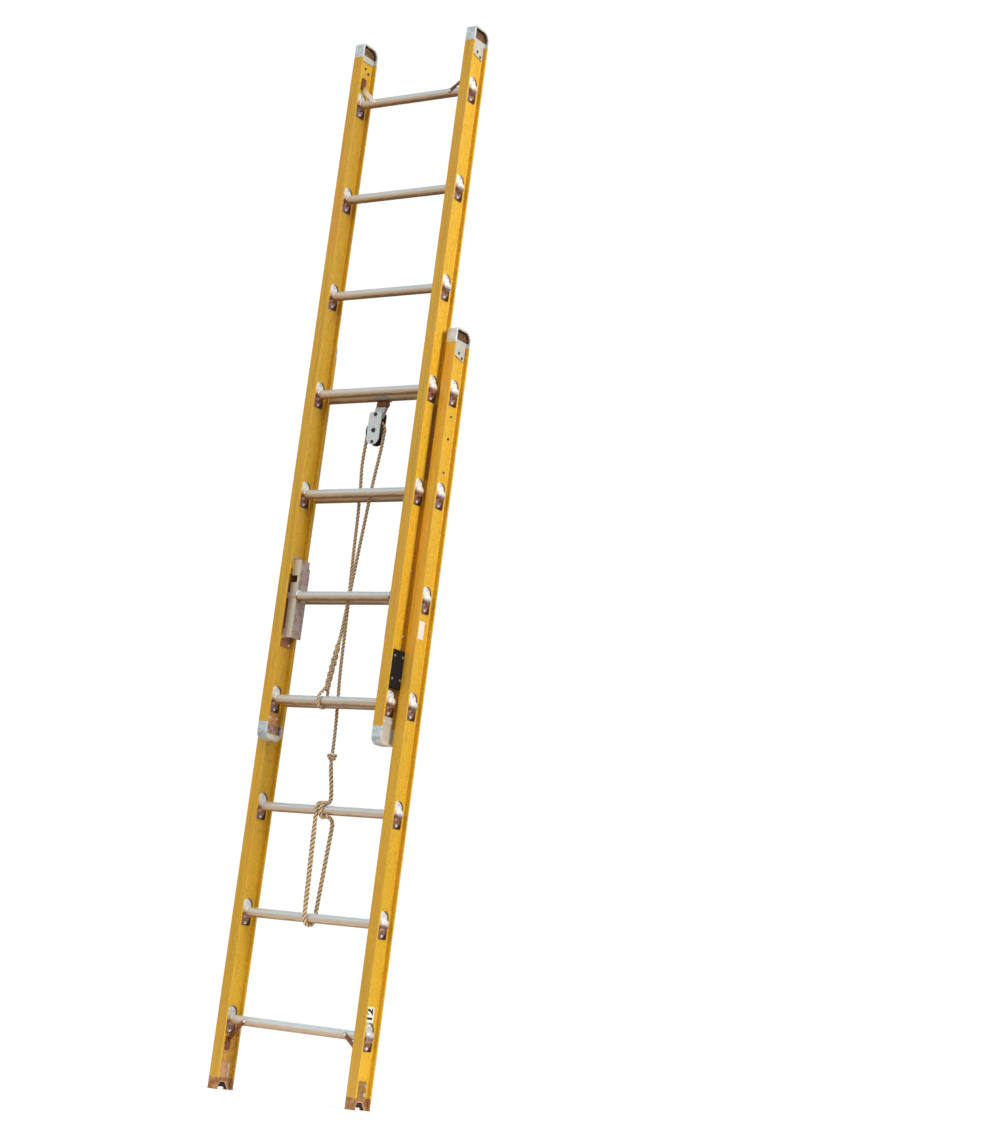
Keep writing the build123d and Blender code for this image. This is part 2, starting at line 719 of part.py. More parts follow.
def pulley_block():
    """The two cheek plates, their three pins, the grooved sheave and its bush."""
    z = base_rungs[-1]
    spacer_drop = axle_drop + halyard_turn_radius + sheave_rim + spacer_gap + spacer_radius
    pins = ((hanger_pin_drop, hanger_pin_radius), (axle_drop, axle_radius), (spacer_drop, spacer_radius))
    cheek_middle = z - cheek_top_drop - cheek_length / 2
    with BuildPart() as cheeks:
        for way in (-1, 1):
            face = base_y + way * cheek_gap / 2
            with BuildSketch(facing(pulley_x, face, cheek_middle)) as outline:
                Rectangle(cheek_width, cheek_length)
                fillet(outline.vertices().group_by(Axis.Y)[-1], cheek_top_corner)
                fillet(outline.vertices().group_by(Axis.Y)[0], cheek_bottom_corner)
                for drop, radius in pins:
                    with Locations((0, z - drop - cheek_middle)):
                        Circle(radius + pin_fit, mode=Mode.SUBTRACT)
            extrude(amount=-way * cheek_thickness)
    keep(cheeks, "pulley_cheeks")

    grip = cheek_gap + 2 * cheek_thickness
    with BuildPart() as block_pins:
        for drop, radius in pins:
            centre = [(pulley_x, base_y, z - drop)]
            headed_pins(centre, grip, along_y, radius, radius + pin_head_radius_extra, pin_head_height, 1.0)
    keep(block_pins, "pulley_pins")

    bush_radius = axle_radius + bush_fit + bush_wall
    groove = halyard_radius + sheave_groove_gap
    with BuildPart() as sheave:
        with BuildSketch(facing(pulley_x, base_y, z - axle_drop)):
            Circle(halyard_turn_radius + sheave_rim)
            Circle(bush_radius + rung_fit, mode=Mode.SUBTRACT)
        extrude(amount=sheave_thickness / 2, both=True)
        with BuildSketch(Plane(origin=(pulley_x, base_y, z - axle_drop), x_dir=along_x, z_dir=(0, 0, 1))):
            with Locations((halyard_turn_radius, 0)):
                Circle(groove)
        revolve(axis=Axis((pulley_x, base_y, z - axle_drop), along_y), mode=Mode.SUBTRACT)
    keep(sheave, "halyard_sheave")

    with BuildPart() as bush:
        with BuildSketch(facing(pulley_x, base_y, z - axle_drop)):
            Circle(bush_radius)
            Circle(axle_radius + bush_fit, mode=Mode.SUBTRACT)
        extrude(amount=sheave_thickness / 2, both=True)
    keep(bush, "sheave_bush")


def turn_at(before, corner, after):
    """Turn of a route at one of its points, in degrees."""
    first = Vector(*corner) - Vector(*before)
    second = Vector(*after) - Vector(*corner)
    return first.get_angle(second)


def route_radii(points, tight=None):
    """Radius for each corner of a route: as large as its runs allow, or the given tight one."""
    radii = []
    for n in range(1, len(points) - 1):
        if tight and n in tight:
            radii.append(tight[n])
            continue
        shorter = min((Vector(*points[n + way]) - Vector(*points[n])).length for way in (-1, 1))
        half_turn = radians(turn_at(points[n - 1], points[n], points[n + 1]) / 2)
        radii.append(0.45 * shorter / tan(half_turn))
    return radii


def rope_path(points, tight=None):
    """Straight runs joined by tangent arcs, with their radii printed."""
    radii = route_radii(points, tight)
    with BuildLine() as line:
        FilletPolyline(*points, radius=radii)
    print("radii", [round(r) for r in radii], "length", round(line.wires()[0].length))
    return line


def rope(name, points, radius, tight=None):
    """A plain tube along a route."""
    line = rope_path(points, tight)
    wire = line.wires()[0]
    with BuildPart() as piece:
        with BuildSketch(Plane(origin=wire @ 0, z_dir=wire % 0)):
            Circle(radius)
        sweep(path=wire)
    share = piece.part.volume / (pi * radius ** 2 * wire.length)
    print(name, "volume against section times length", round(share, 4))
    keep(piece, name)
    return wire


def least_gap(wire, radius, count=600):
    """Least gap of a tube to itself, measured on points along its route."""
    points = [wire @ (n / count) for n in range(count + 1)]
    apart = int(count * 3.2 * radius / wire.length * 2) + 1
    gaps = [(points[a] - points[b]).length for a in range(count) for b in range(a + apart, count + 1)]
    return min(gaps) - 2 * radius


# Rails
base_plate_rivets = plate_rivet_places(base_web, base_y, base_rungs)
fly_plate_rivets = plate_rivet_places(fly_web, fly_y, fly_plated)
base_cap_rivets = cap_rivet_centres(base_web + top_cap_rivet_shift, base_y, base_rail_top, 1,
                                    cap_rivet_places)
fly_cap_rivets = cap_rivet_centres(fly_web + top_cap_rivet_shift, fly_y, fly_rail_top, 1,
                                   cap_rivet_places)
fly_bottom_rivets = cap_rivet_centres(fly_web, fly_y, fly_rail_bottom, -1, bottom_cap_rivet_places)
pivot_places = [(side * (fly_web + half_web + lock_inner) / 2, pivot_y, pivot_z) for side in (-1, 1)]
shoe_bolts = [(side * base_web, base_y + shoe_bolt_setback, shoe_height + up)
              for side in (-1, 1) for up in shoe_bolt_places]
for side_name, side in sides.items():
    base_riveted = base_plate_rivets + base_cap_rivets + guide_rivet_centres()
    rail(f"base_{side_name}_rail", side, base_web, base_y, base_rail_bottom, base_rail_top,
         base_rungs, ((base_riveted, rivet_radius), (shoe_bolts, shoe_bolt_radius)))
    fly_riveted = fly_plate_rivets + fly_cap_rivets + fly_bottom_rivets + lock_rivet_centres()
    fly_riveted = fly_riveted + lock_screw_centres(side)
    rail(f"fly_{side_name}_rail", side, fly_web, fly_y, fly_rail_bottom, fly_rail_top,
         fly_plated,
         ((fly_riveted, rivet_radius), (screw_centres(), screw_radius), (pivot_places, pivot_radius)))

# Rungs and the plates that hold them
for number in range(rung_count):
    lowest = number == 0
    highest = number == rung_count - 1
    rung(f"base_rung_{number + 1}", hub_face(base_web), base_y, base_rungs[number],
         base_web if lowest else None, saddle_rivet_centres() if highest else ())
    fly_half = fly_web - half_web - rung_fit if fly_rungs[number] == lock_rung else hub_face(fly_web)
    rung(f"fly_rung_{number + 1}", fly_half, fly_y, fly_rungs[number], fly_web if highest else None)
rung_plates("base_rung_plates", base_web, base_y, base_rungs)
rung_plates("fly_rung_plates", fly_web, fly_y, fly_plated)
rung_collars("base_rung_collars", base_web, base_y, base_rungs)
rung_collars("fly_rung_collars", fly_web, fly_y, fly_plated, [lock_rung])
rung_braces("bottom_rung_braces", base_web, base_y, base_rungs[0], -1)
rung_braces("top_rung_braces", fly_web, fly_y, fly_rungs[-1], 1)

# Caps, feet, guides, blocks and locks
for side_name, side in sides.items():
    end_cap(f"base_{side_name}_top_cap", side, base_web, base_y, base_rail_top, 1, top_cap_rise,
            top_cap_corners, cap_tongue_length, cap_tongue_slant, cap_inner_lip, cap_rivet_places)
    end_cap(f"fly_{side_name}_top_cap", side, fly_web, fly_y, fly_rail_top, 1, top_cap_rise,
            top_cap_corners, cap_tongue_length, cap_tongue_slant, cap_inner_lip, cap_rivet_places)
    end_cap(f"fly_{side_name}_bottom_cap", side, fly_web, fly_y, fly_rail_bottom, -1, bottom_cap_rise,
            bottom_cap_corners, bottom_tongue_length, 0, bottom_tongue_length, bottom_cap_rivet_places)
    butt_spur(f"{side_name}_butt_spur", side)
    fly_guide(f"{side_name}_fly_guide", side)
    lock_housing(f"{side_name}_lock_housing", side)
    pawl(f"{side_name}_lock_pawl", side)
slide_blocks("slide_blocks")

# Fasteners
with BuildPart() as base_rivets:
    rivets(base_plate_rivets, plate_grip)
    rivets(base_cap_rivets, top_cap_grip)
    brace_bolts(base_web, base_y, base_rungs[0])
    rivets(guide_rivet_centres(), guide_grip)
    rivets(saddle_rivet_centres(), 2 * (rung_radius + saddle_fit + saddle_strap), along_y)
keep(base_rivets, "base_rivets")

with BuildPart() as fly_rivets:
    rivets(fly_plate_rivets, plate_grip)
    rivets(fly_cap_rivets, top_cap_grip)
    rivets(fly_bottom_rivets, cap_grip)
    rivets(lock_rivet_centres(), lock_grip)
    brace_bolts(fly_web, fly_y, fly_rungs[-1])
    for side in (-1, 1):
        headed_pins(lock_screw_centres(side), lock_grip, along_x, rivet_radius, rivet_head_radius,
                    rivet_head_height, rivet_head_taper, (-side,))
keep(fly_rivets, "fly_rivets")

with BuildPart() as spur_bolts:
    headed_pins(shoe_bolts, cap_grip, along_x, shoe_bolt_radius, bolt_head_radius, bolt_head_height,
                bolt_head_taper)
keep(spur_bolts, "spur_bolts")

with BuildPart() as block_screws:
    grip = web_thickness + recess + block_proud - screw_head_height
    headed_pins(screw_centres(), grip, along_x, screw_radius, screw_head_radius, screw_head_height,
                screw_head_taper)
keep(block_screws, "slide_block_screws")

with BuildPart() as pivot_pins:
    grip = fly_web + half_web - lock_inner
    headed_pins(pivot_places, grip, along_x, pivot_radius, pivot_head_radius, pivot_head_height,
                pivot_head_taper)
keep(pivot_pins, "lock_pivot_pins")

# Pulley
pulley_hanger()
pulley_block()

# Halyard: over the sheave, down in front of the base rungs to the eye, and down behind them to the knot
axle_z = base_rungs[-1] - axle_drop
with BuildPart() as sheave_turn:
    with BuildSketch(Plane(origin=(pulley_x, base_y, axle_z), x_dir=along_x, z_dir=(0, 0, 1))):
        with Locations((halyard_turn_radius, 0)):
            Circle(halyard_radius)
    revolve(axis=Axis((pulley_x, base_y, axle_z), (0, -1, 0)), revolution_arc=180)
keep(sheave_turn, "halyard_turn")

upper_run_points = [(21.4, 31.0, 2240.2), (21.5, 30.95, 2199.0), (17.8, 8.6, 2026.0), (16.9, 7.6, 2003.0)]
lower_run_points = [(16.9, 7.6, 2003.0), (16.0, 6.6, 1980.0), (-7.8, -11.3, 1538.0), (-10.6, -12.3, 1512.0)]
hand_run_points = [
    (-49.4, 31.0, 2240.2), (-49.9, 31.05, 2202.0), (-64.5, 43.0, 2128.0), (-65.0, 55.0, 2046.0),
    (-61.0, 56.5, 1955.0), (-57.0, 55.0, 1820.0), (-52.0, 56.5, 1680.0), (-46.5, 55.0, 1545.0),
    (-45.0, 56.0, 1410.0), (-36.0, 55.5, 1300.0), (-28.5, 54.5, 1200.0), (-28.0, 54.0, 1132.4)]
tail_points = [
    (-28.0, 54.0, 1107.6), (-27.0, 54.2, 1075.0), (-7.0, 54.4, 962.6), (-8.0, 7.6, 962.6),
    (-10.0, 7.6, 915.8), (-18.0, 54.4, 915.8), (-24.0, 54.4, 962.6), (-26.0, 7.6, 962.6),
    (-14.0, 7.6, 560.2), (-8.0, 54.4, 560.2), (14.0, 54.4, 915.8), (17.0, 10.0, 915.8)]
eye_points = [(-33.0, -11.6, 1338.0), (-33.0, -8.6, 1272.4), (-33.0, -53.4, 1272.4),
              (-33.0, -53.4, 1309.0), (-33.0, -25.0, 1331.0)]
wrap_radius = 22.9
tail_wraps = {n: wrap_radius for n in range(2, 11)}
eye_wraps = {1: 21.8, 2: 21.8, 3: 28.0}

rope("halyard_upper_run", upper_run_points, halyard_radius)
rope("halyard_lower_run", lower_run_points, halyard_radius)
rope("halyard_hand_run", hand_run_points, halyard_radius)
tail_wire = rope("tail_rope", tail_points, tail_radius, tail_wraps)
print("tail rope least gap to itself", round(least_gap(tail_wire, tail_radius), 2))

knot_middle = Vector(hand_run_points[-1]) - Vector(0, 0, knot_height / 2 + rope_joint_gap)
with BuildPart(Plane(origin=knot_middle)) as joining_knot:
    Box(knot_width, knot_depth, knot_height)
    fillet(joining_knot.edges(), knot_fillet)
keep(joining_knot, "joining_knot")

# Eye splice round the lowest fly rung
throat = Vector(-31.0, -18.5, 1325.0)
splice_end = Vector(lower_run_points[-1])
splice_axis = (splice_end - throat).normalized()
eye_wire = rope_path(eye_points, eye_wraps).wires()[0]
with BuildPart() as halyard_eye:
    with BuildSketch(Plane(origin=eye_wire @ 0, z_dir=eye_wire % 0)):
        Circle(eye_radius)
    sweep(path=eye_wire)
    length = (splice_end - throat).length - rope_joint_gap
    with Locations(Plane(origin=throat, z_dir=splice_axis)):
        Cone(splice_radius, halyard_radius, length, align=(Align.CENTER, Align.CENTER, Align.MIN))
keep(halyard_eye, "halyard_eye")
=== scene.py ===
"""Looks for a two-section fibreglass extension ladder: finishes, laid rope, stickers and studio."""
import logging
import math
from dataclasses import dataclass, field
from enum import Enum
from functools import cached_property
from typing import Callable, Iterable, Optional, Sequence, Union

import bpy
import numpy as np
from mathutils import Matrix, Vector


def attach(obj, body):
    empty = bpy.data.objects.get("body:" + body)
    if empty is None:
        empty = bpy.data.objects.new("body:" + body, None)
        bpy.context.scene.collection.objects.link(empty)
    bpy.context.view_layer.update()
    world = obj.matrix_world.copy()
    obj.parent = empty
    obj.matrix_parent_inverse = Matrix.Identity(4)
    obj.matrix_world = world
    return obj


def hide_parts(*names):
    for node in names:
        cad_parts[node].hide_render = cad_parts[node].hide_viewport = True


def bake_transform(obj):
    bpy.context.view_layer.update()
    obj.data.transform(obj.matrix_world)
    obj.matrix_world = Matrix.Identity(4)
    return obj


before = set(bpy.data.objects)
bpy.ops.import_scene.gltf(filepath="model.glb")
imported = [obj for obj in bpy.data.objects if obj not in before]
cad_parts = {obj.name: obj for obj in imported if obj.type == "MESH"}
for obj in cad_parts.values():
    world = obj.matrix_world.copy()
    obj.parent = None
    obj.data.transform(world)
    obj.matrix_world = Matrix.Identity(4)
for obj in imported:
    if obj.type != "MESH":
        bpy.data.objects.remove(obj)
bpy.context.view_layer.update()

log = logging.getLogger("ladder")
logging.basicConfig(level=logging.INFO, format="%(name)s: %(message)s")

Colour = tuple[float, float, float]
Point = tuple[float, float, float]
Span = tuple[float, float]
Settings = dict[str, object]
Value = Union["Wire", float]
Material = bpy.types.Material
Piece = bpy.types.Object

MM = 0.001
RUNG_PITCH = 0.3556
FIRST_RUNG = 0.228
BASE_Y = 0.031
FLY_Y = -0.031
BASE_WEB = 0.28325
FLY_WEB = 0.23875
HALYARD_LAY = 0.040
TAIL_LAY = 0.046
STRANDS = 3


def tint(red: int, green: int, blue: int) -> Colour:
    """Turn a screen colour into a linear one.

    Args:
        red: Red, from 0 to 255.
        green: Green, from 0 to 255.
        blue: Blue, from 0 to 255.

    Returns:
        The linear colour.
    """
    def line(value: int) -> float:
        """Linear value of one channel."""
        share = value / 255
        return share / 12.92 if share <= 0.04045 else ((share + 0.055) / 1.055) ** 2.4
    return line(red), line(green), line(blue)


class Wire:
    """A shader socket that takes part in Python expressions."""

    def __init__(self, graph: "Graph", socket: bpy.types.NodeSocket) -> None:
        """Keep the graph and the socket."""
        self.graph = graph
        self.socket = socket

    def math(self, operation: str, *others: Value) -> "Wire":
        """Result of a Math node with this socket first."""
        return self.graph.node("ShaderNodeMath", {"operation": operation}, self, *others)

    def __add__(self, other: Value) -> "Wire":
        """Sum."""
        return self.math("ADD", other)

    def __sub__(self, other: Value) -> "Wire":
        """Difference."""
        return self.math("SUBTRACT", other)

    def __rsub__(self, other: float) -> "Wire":
        """Difference from a number."""
        return self.graph.node("ShaderNodeMath", {"operation": "SUBTRACT"}, other, self)

    def __mul__(self, other: Value) -> "Wire":
        """Product."""
        return self.math("MULTIPLY", other)

    def __truediv__(self, other: Value) -> "Wire":
        """Quotient."""
        return self.math("DIVIDE", other)

    __radd__ = __add__
    __rmul__ = __mul__

    def size(self) -> "Wire":
        """The value without its sign."""
        return self.math("ABSOLUTE")

    def most(self, other: Value) -> "Wire":
        """The larger of two values."""
        return self.math("MAXIMUM", other)

    def between(self, low: float, high: float) -> "Wire":
        """Rise smoothly from 0 at low to 1 at high."""
        smooth = {"interpolation_type": "SMOOTHSTEP"}
        return self.graph.node("ShaderNodeMapRange", smooth, self, low, high, 0.0, 1.0)


class Graph:
    """A node tree, with one method that makes any node."""

    def __init__(self, tree: bpy.types.NodeTree, shader: str) -> None:
        """Keep the tree of a material or a world, and the shader node of that name in it."""
        self.tree = tree
        self.shader = tree.nodes[shader]

    def node(self, kind: str, settings: Settings, *values: object,
             result: Union[int, str] = 0, **named: object) -> Wire:
        """Make a node, set it up and fill or link its sockets.

        Args:
            kind: The node's type.
            settings: Properties that are set first.
            values: Values or wires for the sockets in order, with None for one that keeps its own.
            result: Number or name of the result.
            named: Values or wires for sockets by name.

        Returns:
            The node's result.
        """
        made = self.tree.nodes.new(kind)
        for key, value in settings.items():
            setattr(made, key, value)
        for slot, value in list(enumerate(values)) + list(named.items()):
            if value is not None:
                self.feed(made.inputs[slot], value)
        return Wire(self, made.outputs[result])

    def feed(self, socket: bpy.types.NodeSocket, value: object) -> None:
        """Link a wire to a socket, or set its value.

        Args:
            socket: The socket to fill.
            value: A wire, a number, a colour or a vector.
        """
        if isinstance(value, Wire):
            self.tree.links.new(value.socket, socket)
        elif isinstance(value, tuple) and len(value) == 3 and socket.type == "RGBA":
            socket.default_value = (*value, 1.0)
        else:
            socket.default_value = value

    def parts(self, vector: Wire) -> tuple[Wire, Wire, Wire]:
        """Split a vector into its three values."""
        first = self.node("ShaderNodeSeparateXYZ", {}, vector)
        return tuple(Wire(self, out) for out in first.socket.node.outputs)

    @cached_property
    def place(self) -> Wire:
        """Object coordinates."""
        return self.node("ShaderNodeTexCoord", {}, result="Object")

    @cached_property
    def xyz(self) -> tuple[Wire, Wire, Wire]:
        """The three object coordinates."""
        return self.parts(self.place)

    @cached_property
    def fine(self) -> Wire:
        """Fine grain of a metal."""
        return self.noise(420.0, rough=0.65)

    @cached_property
    def rust(self) -> Wire:
        """Rust spots of a metal."""
        return self.noise(120.0, detail=4.0, rough=0.7)

    @cached_property
    def pitted(self) -> Wire:
        """Height of a metal with grain and rust spots."""
        return self.fine * 0.5 + self.rust * 0.5

    @cached_property
    def broad(self) -> Wire:
        """Broad stains of a metal."""
        return self.noise(38.0)

    def noise(self, scale: Union[float, Point], detail: float = 3.0, rough: float = 0.6,
              vector: Optional[Wire] = None) -> Wire:
        """Cloudy noise from 0 to 1.

        Args:
            scale: Its scale per metre, the same every way or along each axis.
            detail: Its octaves.
            rough: The weight of its fine octaves.
            vector: Where it is read, if not at the object coordinates.

        Returns:
            The noise.
        """
        vector = vector or self.place
        if isinstance(scale, tuple):
            vector = self.node("ShaderNodeMapping", {}, Vector=vector, Scale=scale)
            scale = 1.0
        return self.node("ShaderNodeTexNoise", {}, Vector=vector, Scale=scale, Detail=detail, Roughness=rough)

    def paint(self, colour: object, *coats: tuple[Value, object]) -> Wire:
        """Mix colours over one another.

        Args:
            colour: The lowest colour.
            coats: Share and colour of each coat over it, in order.

        Returns:
            The mixed colour.
        """
        # A Mix node has five sockets for other kinds of value between its share and its colours.
        other_kinds = [None] * 5
        for share, coat in coats:
            colour = self.node("ShaderNodeMix", {"data_type": "RGBA"}, share, *other_kinds, colour, coat,
                               result=2)
        return colour

    def bump(self, height: Wire, depth: float, strength: float = 0.6) -> Wire:
        """Turn a height from 0 to 1 into a normal. The depth of a full step is in metres."""
        return self.node("ShaderNodeBump", {}, Strength=strength, Distance=depth, Height=height)

    def finish(self, sockets: Settings) -> None:
        """Fill the shader's sockets with values or wires by name."""
        for name, value in sockets.items():
            self.feed(self.shader.inputs[name], value)


def rung_height(z: Wire) -> Wire:
    """Height above the nearest rung axis, from minus to plus half a rung pitch, in metres."""
    half = RUNG_PITCH / 2
    return (z - (FIRST_RUNG - half)).math("FLOORED_MODULO", RUNG_PITCH) - half


class End(Enum):
    """Which way an end of a rail points."""

    TOP = 1.0
    BOTTOM = -1.0


@dataclass(frozen=True)
class Finish:
    """A named look. Each kind says what feeds its shader."""

    name: str

    def sockets(self, graph: Graph) -> Settings:
        """What feeds the shader: wires, colours and numbers by socket name."""
        raise NotImplementedError

    def material(self) -> Material:
        """Build the material.

        Returns:
            The material.
        """
        made = bpy.data.materials.new(self.name)
        made.use_nodes = True
        graph = Graph(made.node_tree, "Principled BSDF")
        graph.finish(self.sockets(graph))
        return made


@dataclass(frozen=True)
class Fibreglass(Finish):
    """Golden glass-fibre rail with fibres along it, with painted shade on its front faces, towards its bottom
    and beside the lock, and brown towards the foot inside the base rails.
    """

    name: str = "golden_fibreglass"
    gold: Colour = tint(244, 194, 48)
    deep: Colour = tint(214, 150, 24)
    # Painted shade towards the bottom of the rails, deepest on the front faces.
    worn_and_low_shade: Colour = tint(180, 134, 40)
    olive: Colour = tint(190, 152, 34)
    speck: Colour = tint(138, 90, 18)
    # Painted shade for the front faces.
    front_shade: Colour = tint(246, 186, 44)
    amber: Colour = tint(232, 152, 60)
    inner_tone: Colour = tint(146, 88, 54)
    foot_tone_fades: Span = (0.17, 0.26)
    foot_tone_ragged: float = 0.12
    low_shade_to: float = 1.1
    # Heights of the painted shadow on the web beside the lock.
    lock_shade_from: Span = (1.512, 1.516)
    lock_shade_to: Span = (1.724, 1.728)
    fly_inner_face: Span = (0.2361, 0.2366)
    fly_channel: Span = (-0.0665, -0.0655)
    base_inner_face: Span = (0.281, 0.2815)
    base_front: Span = (-0.005, -0.0045)
    between_rails: Span = (0.2605, 0.2615)
    front_faces: Span = (-0.0117, -0.0737)
    face_depth: float = 0.0003
    relief: float = 0.00025

    def sockets(self, graph: Graph) -> Settings:
        """Feed the shader with fibres, painted shade and a brown foot.

        Args:
            graph: The material's node tree.

        Returns:
            Values and wires by socket name.
        """
        x, y, z = graph.xyz
        out = x.size()
        streak = graph.noise((620.0, 620.0, 9.0), detail=2.0)
        cloud = graph.noise((60.0, 60.0, 24.0))
        grit = graph.noise((420.0, 420.0, 200.0), detail=2.0, rough=0.7)
        patch = graph.noise((150.0, 150.0, 80.0), rough=0.65)
        ribbon = graph.noise((130.0, 130.0, 3.0), detail=2.0)
        deeper = streak.between(0.3, 0.75) * 0.4 + cloud.between(0.5, 0.8) * 0.4
        wide = out.between(*self.between_rails)
        # Painted shade: the front faces get a duller coat, with amber and olive streaks.
        base_face, fly_face = (1.0 - y.between(edge - self.face_depth, edge) for edge in self.front_faces)
        facing = wide * base_face + (1.0 - wide) * fly_face
        # Brown towards the foot of the base rails' inner faces.
        low = 1.0 - (z + (cloud - 0.5) * self.foot_tone_ragged).between(*self.foot_tone_fades)
        inside = (1.0 - out.between(*self.base_inner_face)) * y.between(*self.base_front)
        inner_tone_share = inside * low * (0.2 + 0.4 * patch.between(0.4, 0.6))
        # Painted shadow: the web beside the lock, inside the fly's channel, takes the dark brown.
        beside_lock = z.between(*self.lock_shade_from) * (1.0 - z.between(*self.lock_shade_to))
        within = (1.0 - out.between(*self.fly_inner_face)) * y.between(*self.fly_channel)
        inner_tone_share = inner_tone_share.most(beside_lock * within * 0.95)
        body = graph.paint(
            self.gold, (deeper, self.deep),
            ((1.0 - cloud.between(0.25, 0.46)) * 0.5, self.olive),
            (patch.between(0.48, 0.7) * 0.45, self.olive), (facing * 0.5, self.front_shade),
            (facing * ribbon.between(0.52, 0.66) * 0.55, self.amber),
            (facing * (1.0 - ribbon.between(0.36, 0.48)) * 0.45, self.olive),
            # Painted shade: darker towards the bottom, most of all on the front faces.
            ((1.0 - z.between(0.0, self.low_shade_to)) * (0.1 + 0.5 * facing), self.worn_and_low_shade),
            (grit.between(0.5, 0.72) * 0.5, self.speck), (inner_tone_share, self.inner_tone))
        return {"Base Color": body, "Roughness": 0.38 + 0.18 * streak,
                "Normal": graph.bump(streak * 0.6 + grit * 0.4, self.relief, strength=0.5),
                "Coat Weight": 0.15, "Coat Roughness": 0.25, "Specular IOR Level": 0.45}


@dataclass(frozen=True)
class RungMetal(Finish):
    """Satin rung tube with fine grip ridges along it, pale on top, with painted tan and brown shade below and
    in its ridge grooves.
    """

    axis_y: float
    bright: Colour = tint(232, 240, 242)
    # Painted shade and reflection under the rung.
    tan: Colour = tint(240, 212, 172)
    under: Colour = tint(158, 114, 74)
    tan_shade_below: Span = (-0.006, 0.006)
    dark_shade_below: Span = (-0.0135, -0.0085)
    ragged_by: float = 0.008
    lit_from: Span = (0.2, 0.9)
    ridges: int = 54
    relief: float = 0.0004

    def sockets(self, graph: Graph) -> Settings:
        """Feed the shader with ridges and painted shade on the underside and in the grooves.

        Args:
            graph: The material's node tree.

        Returns:
            Values and wires by socket name.
        """
        _, y, z = graph.xyz
        height = rung_height(z)
        ridge = (height.math("ARCTAN2", y - self.axis_y) * self.ridges).math("SINE") * 0.5 + 0.5
        brushed = graph.noise((9.0, 700.0, 700.0), detail=2.0)
        stain = graph.noise((24.0, 60.0, 60.0))
        ragged = height + (stain - 0.5) * self.ragged_by
        low = 1.0 - ragged.between(*self.tan_shade_below)
        # Painted shade and reflection: tan and brown under the rung, browner under the rungs near the floor,
        # and darker in the ridge grooves.
        body = graph.paint(
            self.bright, (low * (0.7 + 0.3 * stain), self.tan),
            ((1.0 - ragged.between(*self.dark_shade_below)) * 0.85, self.under),
            ((1.0 - z.between(*self.lit_from)) * low * 0.5, self.under),
            ((1.0 - ridge) * 0.14, self.under))
        return {"Base Color": body, "Roughness": 0.3 + 0.16 * brushed, "Metallic": 0.6 - 0.4 * low,
                "Normal": graph.bump(ridge * 0.8 + brushed * 0.2, self.relief, strength=0.55)}


@dataclass(frozen=True)
class PlateMetal(Finish):
    """Polished hub plate with a rounded rim: painted reflection, pale above its rung and brown below it, and
    a painted shadow on the back of its rim.
    """

    axis_y: float
    pale: Colour = tint(252, 252, 248)
    # Painted reflection below the rung.
    brown: Colour = tint(164, 112, 102)
    shadow: Colour = tint(66, 42, 30)
    low_grey: Colour = tint(158, 158, 138)
    low_grey_to: Span = (0.3, 0.4)
    half_width: float = 0.025
    half_height: float = 0.045
    brown_reflection_below: Span = (-0.008, 0.006)
    ragged_by: float = 0.014
    shadow_across: Span = (-0.012, 0.002)
    shadow_from: Span = (0.0165, 0.0195)
    relief: float = 0.004

    def sockets(self, graph: Graph) -> Settings:
        """Feed the shader with a dished face, painted reflection and a painted rim shadow.

        Args:
            graph: The material's node tree.

        Returns:
            Values and wires by socket name.
        """
        _, y, z = graph.xyz
        height = rung_height(z)
        sideways = y - self.axis_y
        beyond = (height.size() - (self.half_height - self.half_width)).most(0.0)
        from_spine = (beyond * beyond + sideways * sideways).math("SQRT")
        dish = 1.0 - from_spine.between(0.6 * self.half_width, self.half_width)
        mottle = graph.noise(110.0)
        low = 1.0 - (height + (mottle - 0.5) * self.ragged_by).between(*self.brown_reflection_below)
        back = sideways.between(*self.shadow_across) * from_spine.between(*self.shadow_from)
        # Greyer blotches on the plates near the floor.
        foot = 1.0 - z.between(*self.low_grey_to)
        blotch = graph.noise(210.0, rough=0.65).between(0.5, 0.62)
        # Painted reflection: pale above the rung and brown below it; painted shadow on the back of the rim.
        body = graph.paint(
            self.pale, (foot * (0.3 + 0.6 * blotch), self.low_grey),
            (low * (0.75 + 0.25 * mottle), self.brown), (back * 0.9, self.shadow))
        return {"Base Color": body, "Roughness": 0.18 + 0.16 * mottle, "Metallic": 0.3 + 0.4 * low,
                "Normal": graph.bump(dish * 0.9 + mottle * 0.1, self.relief)}


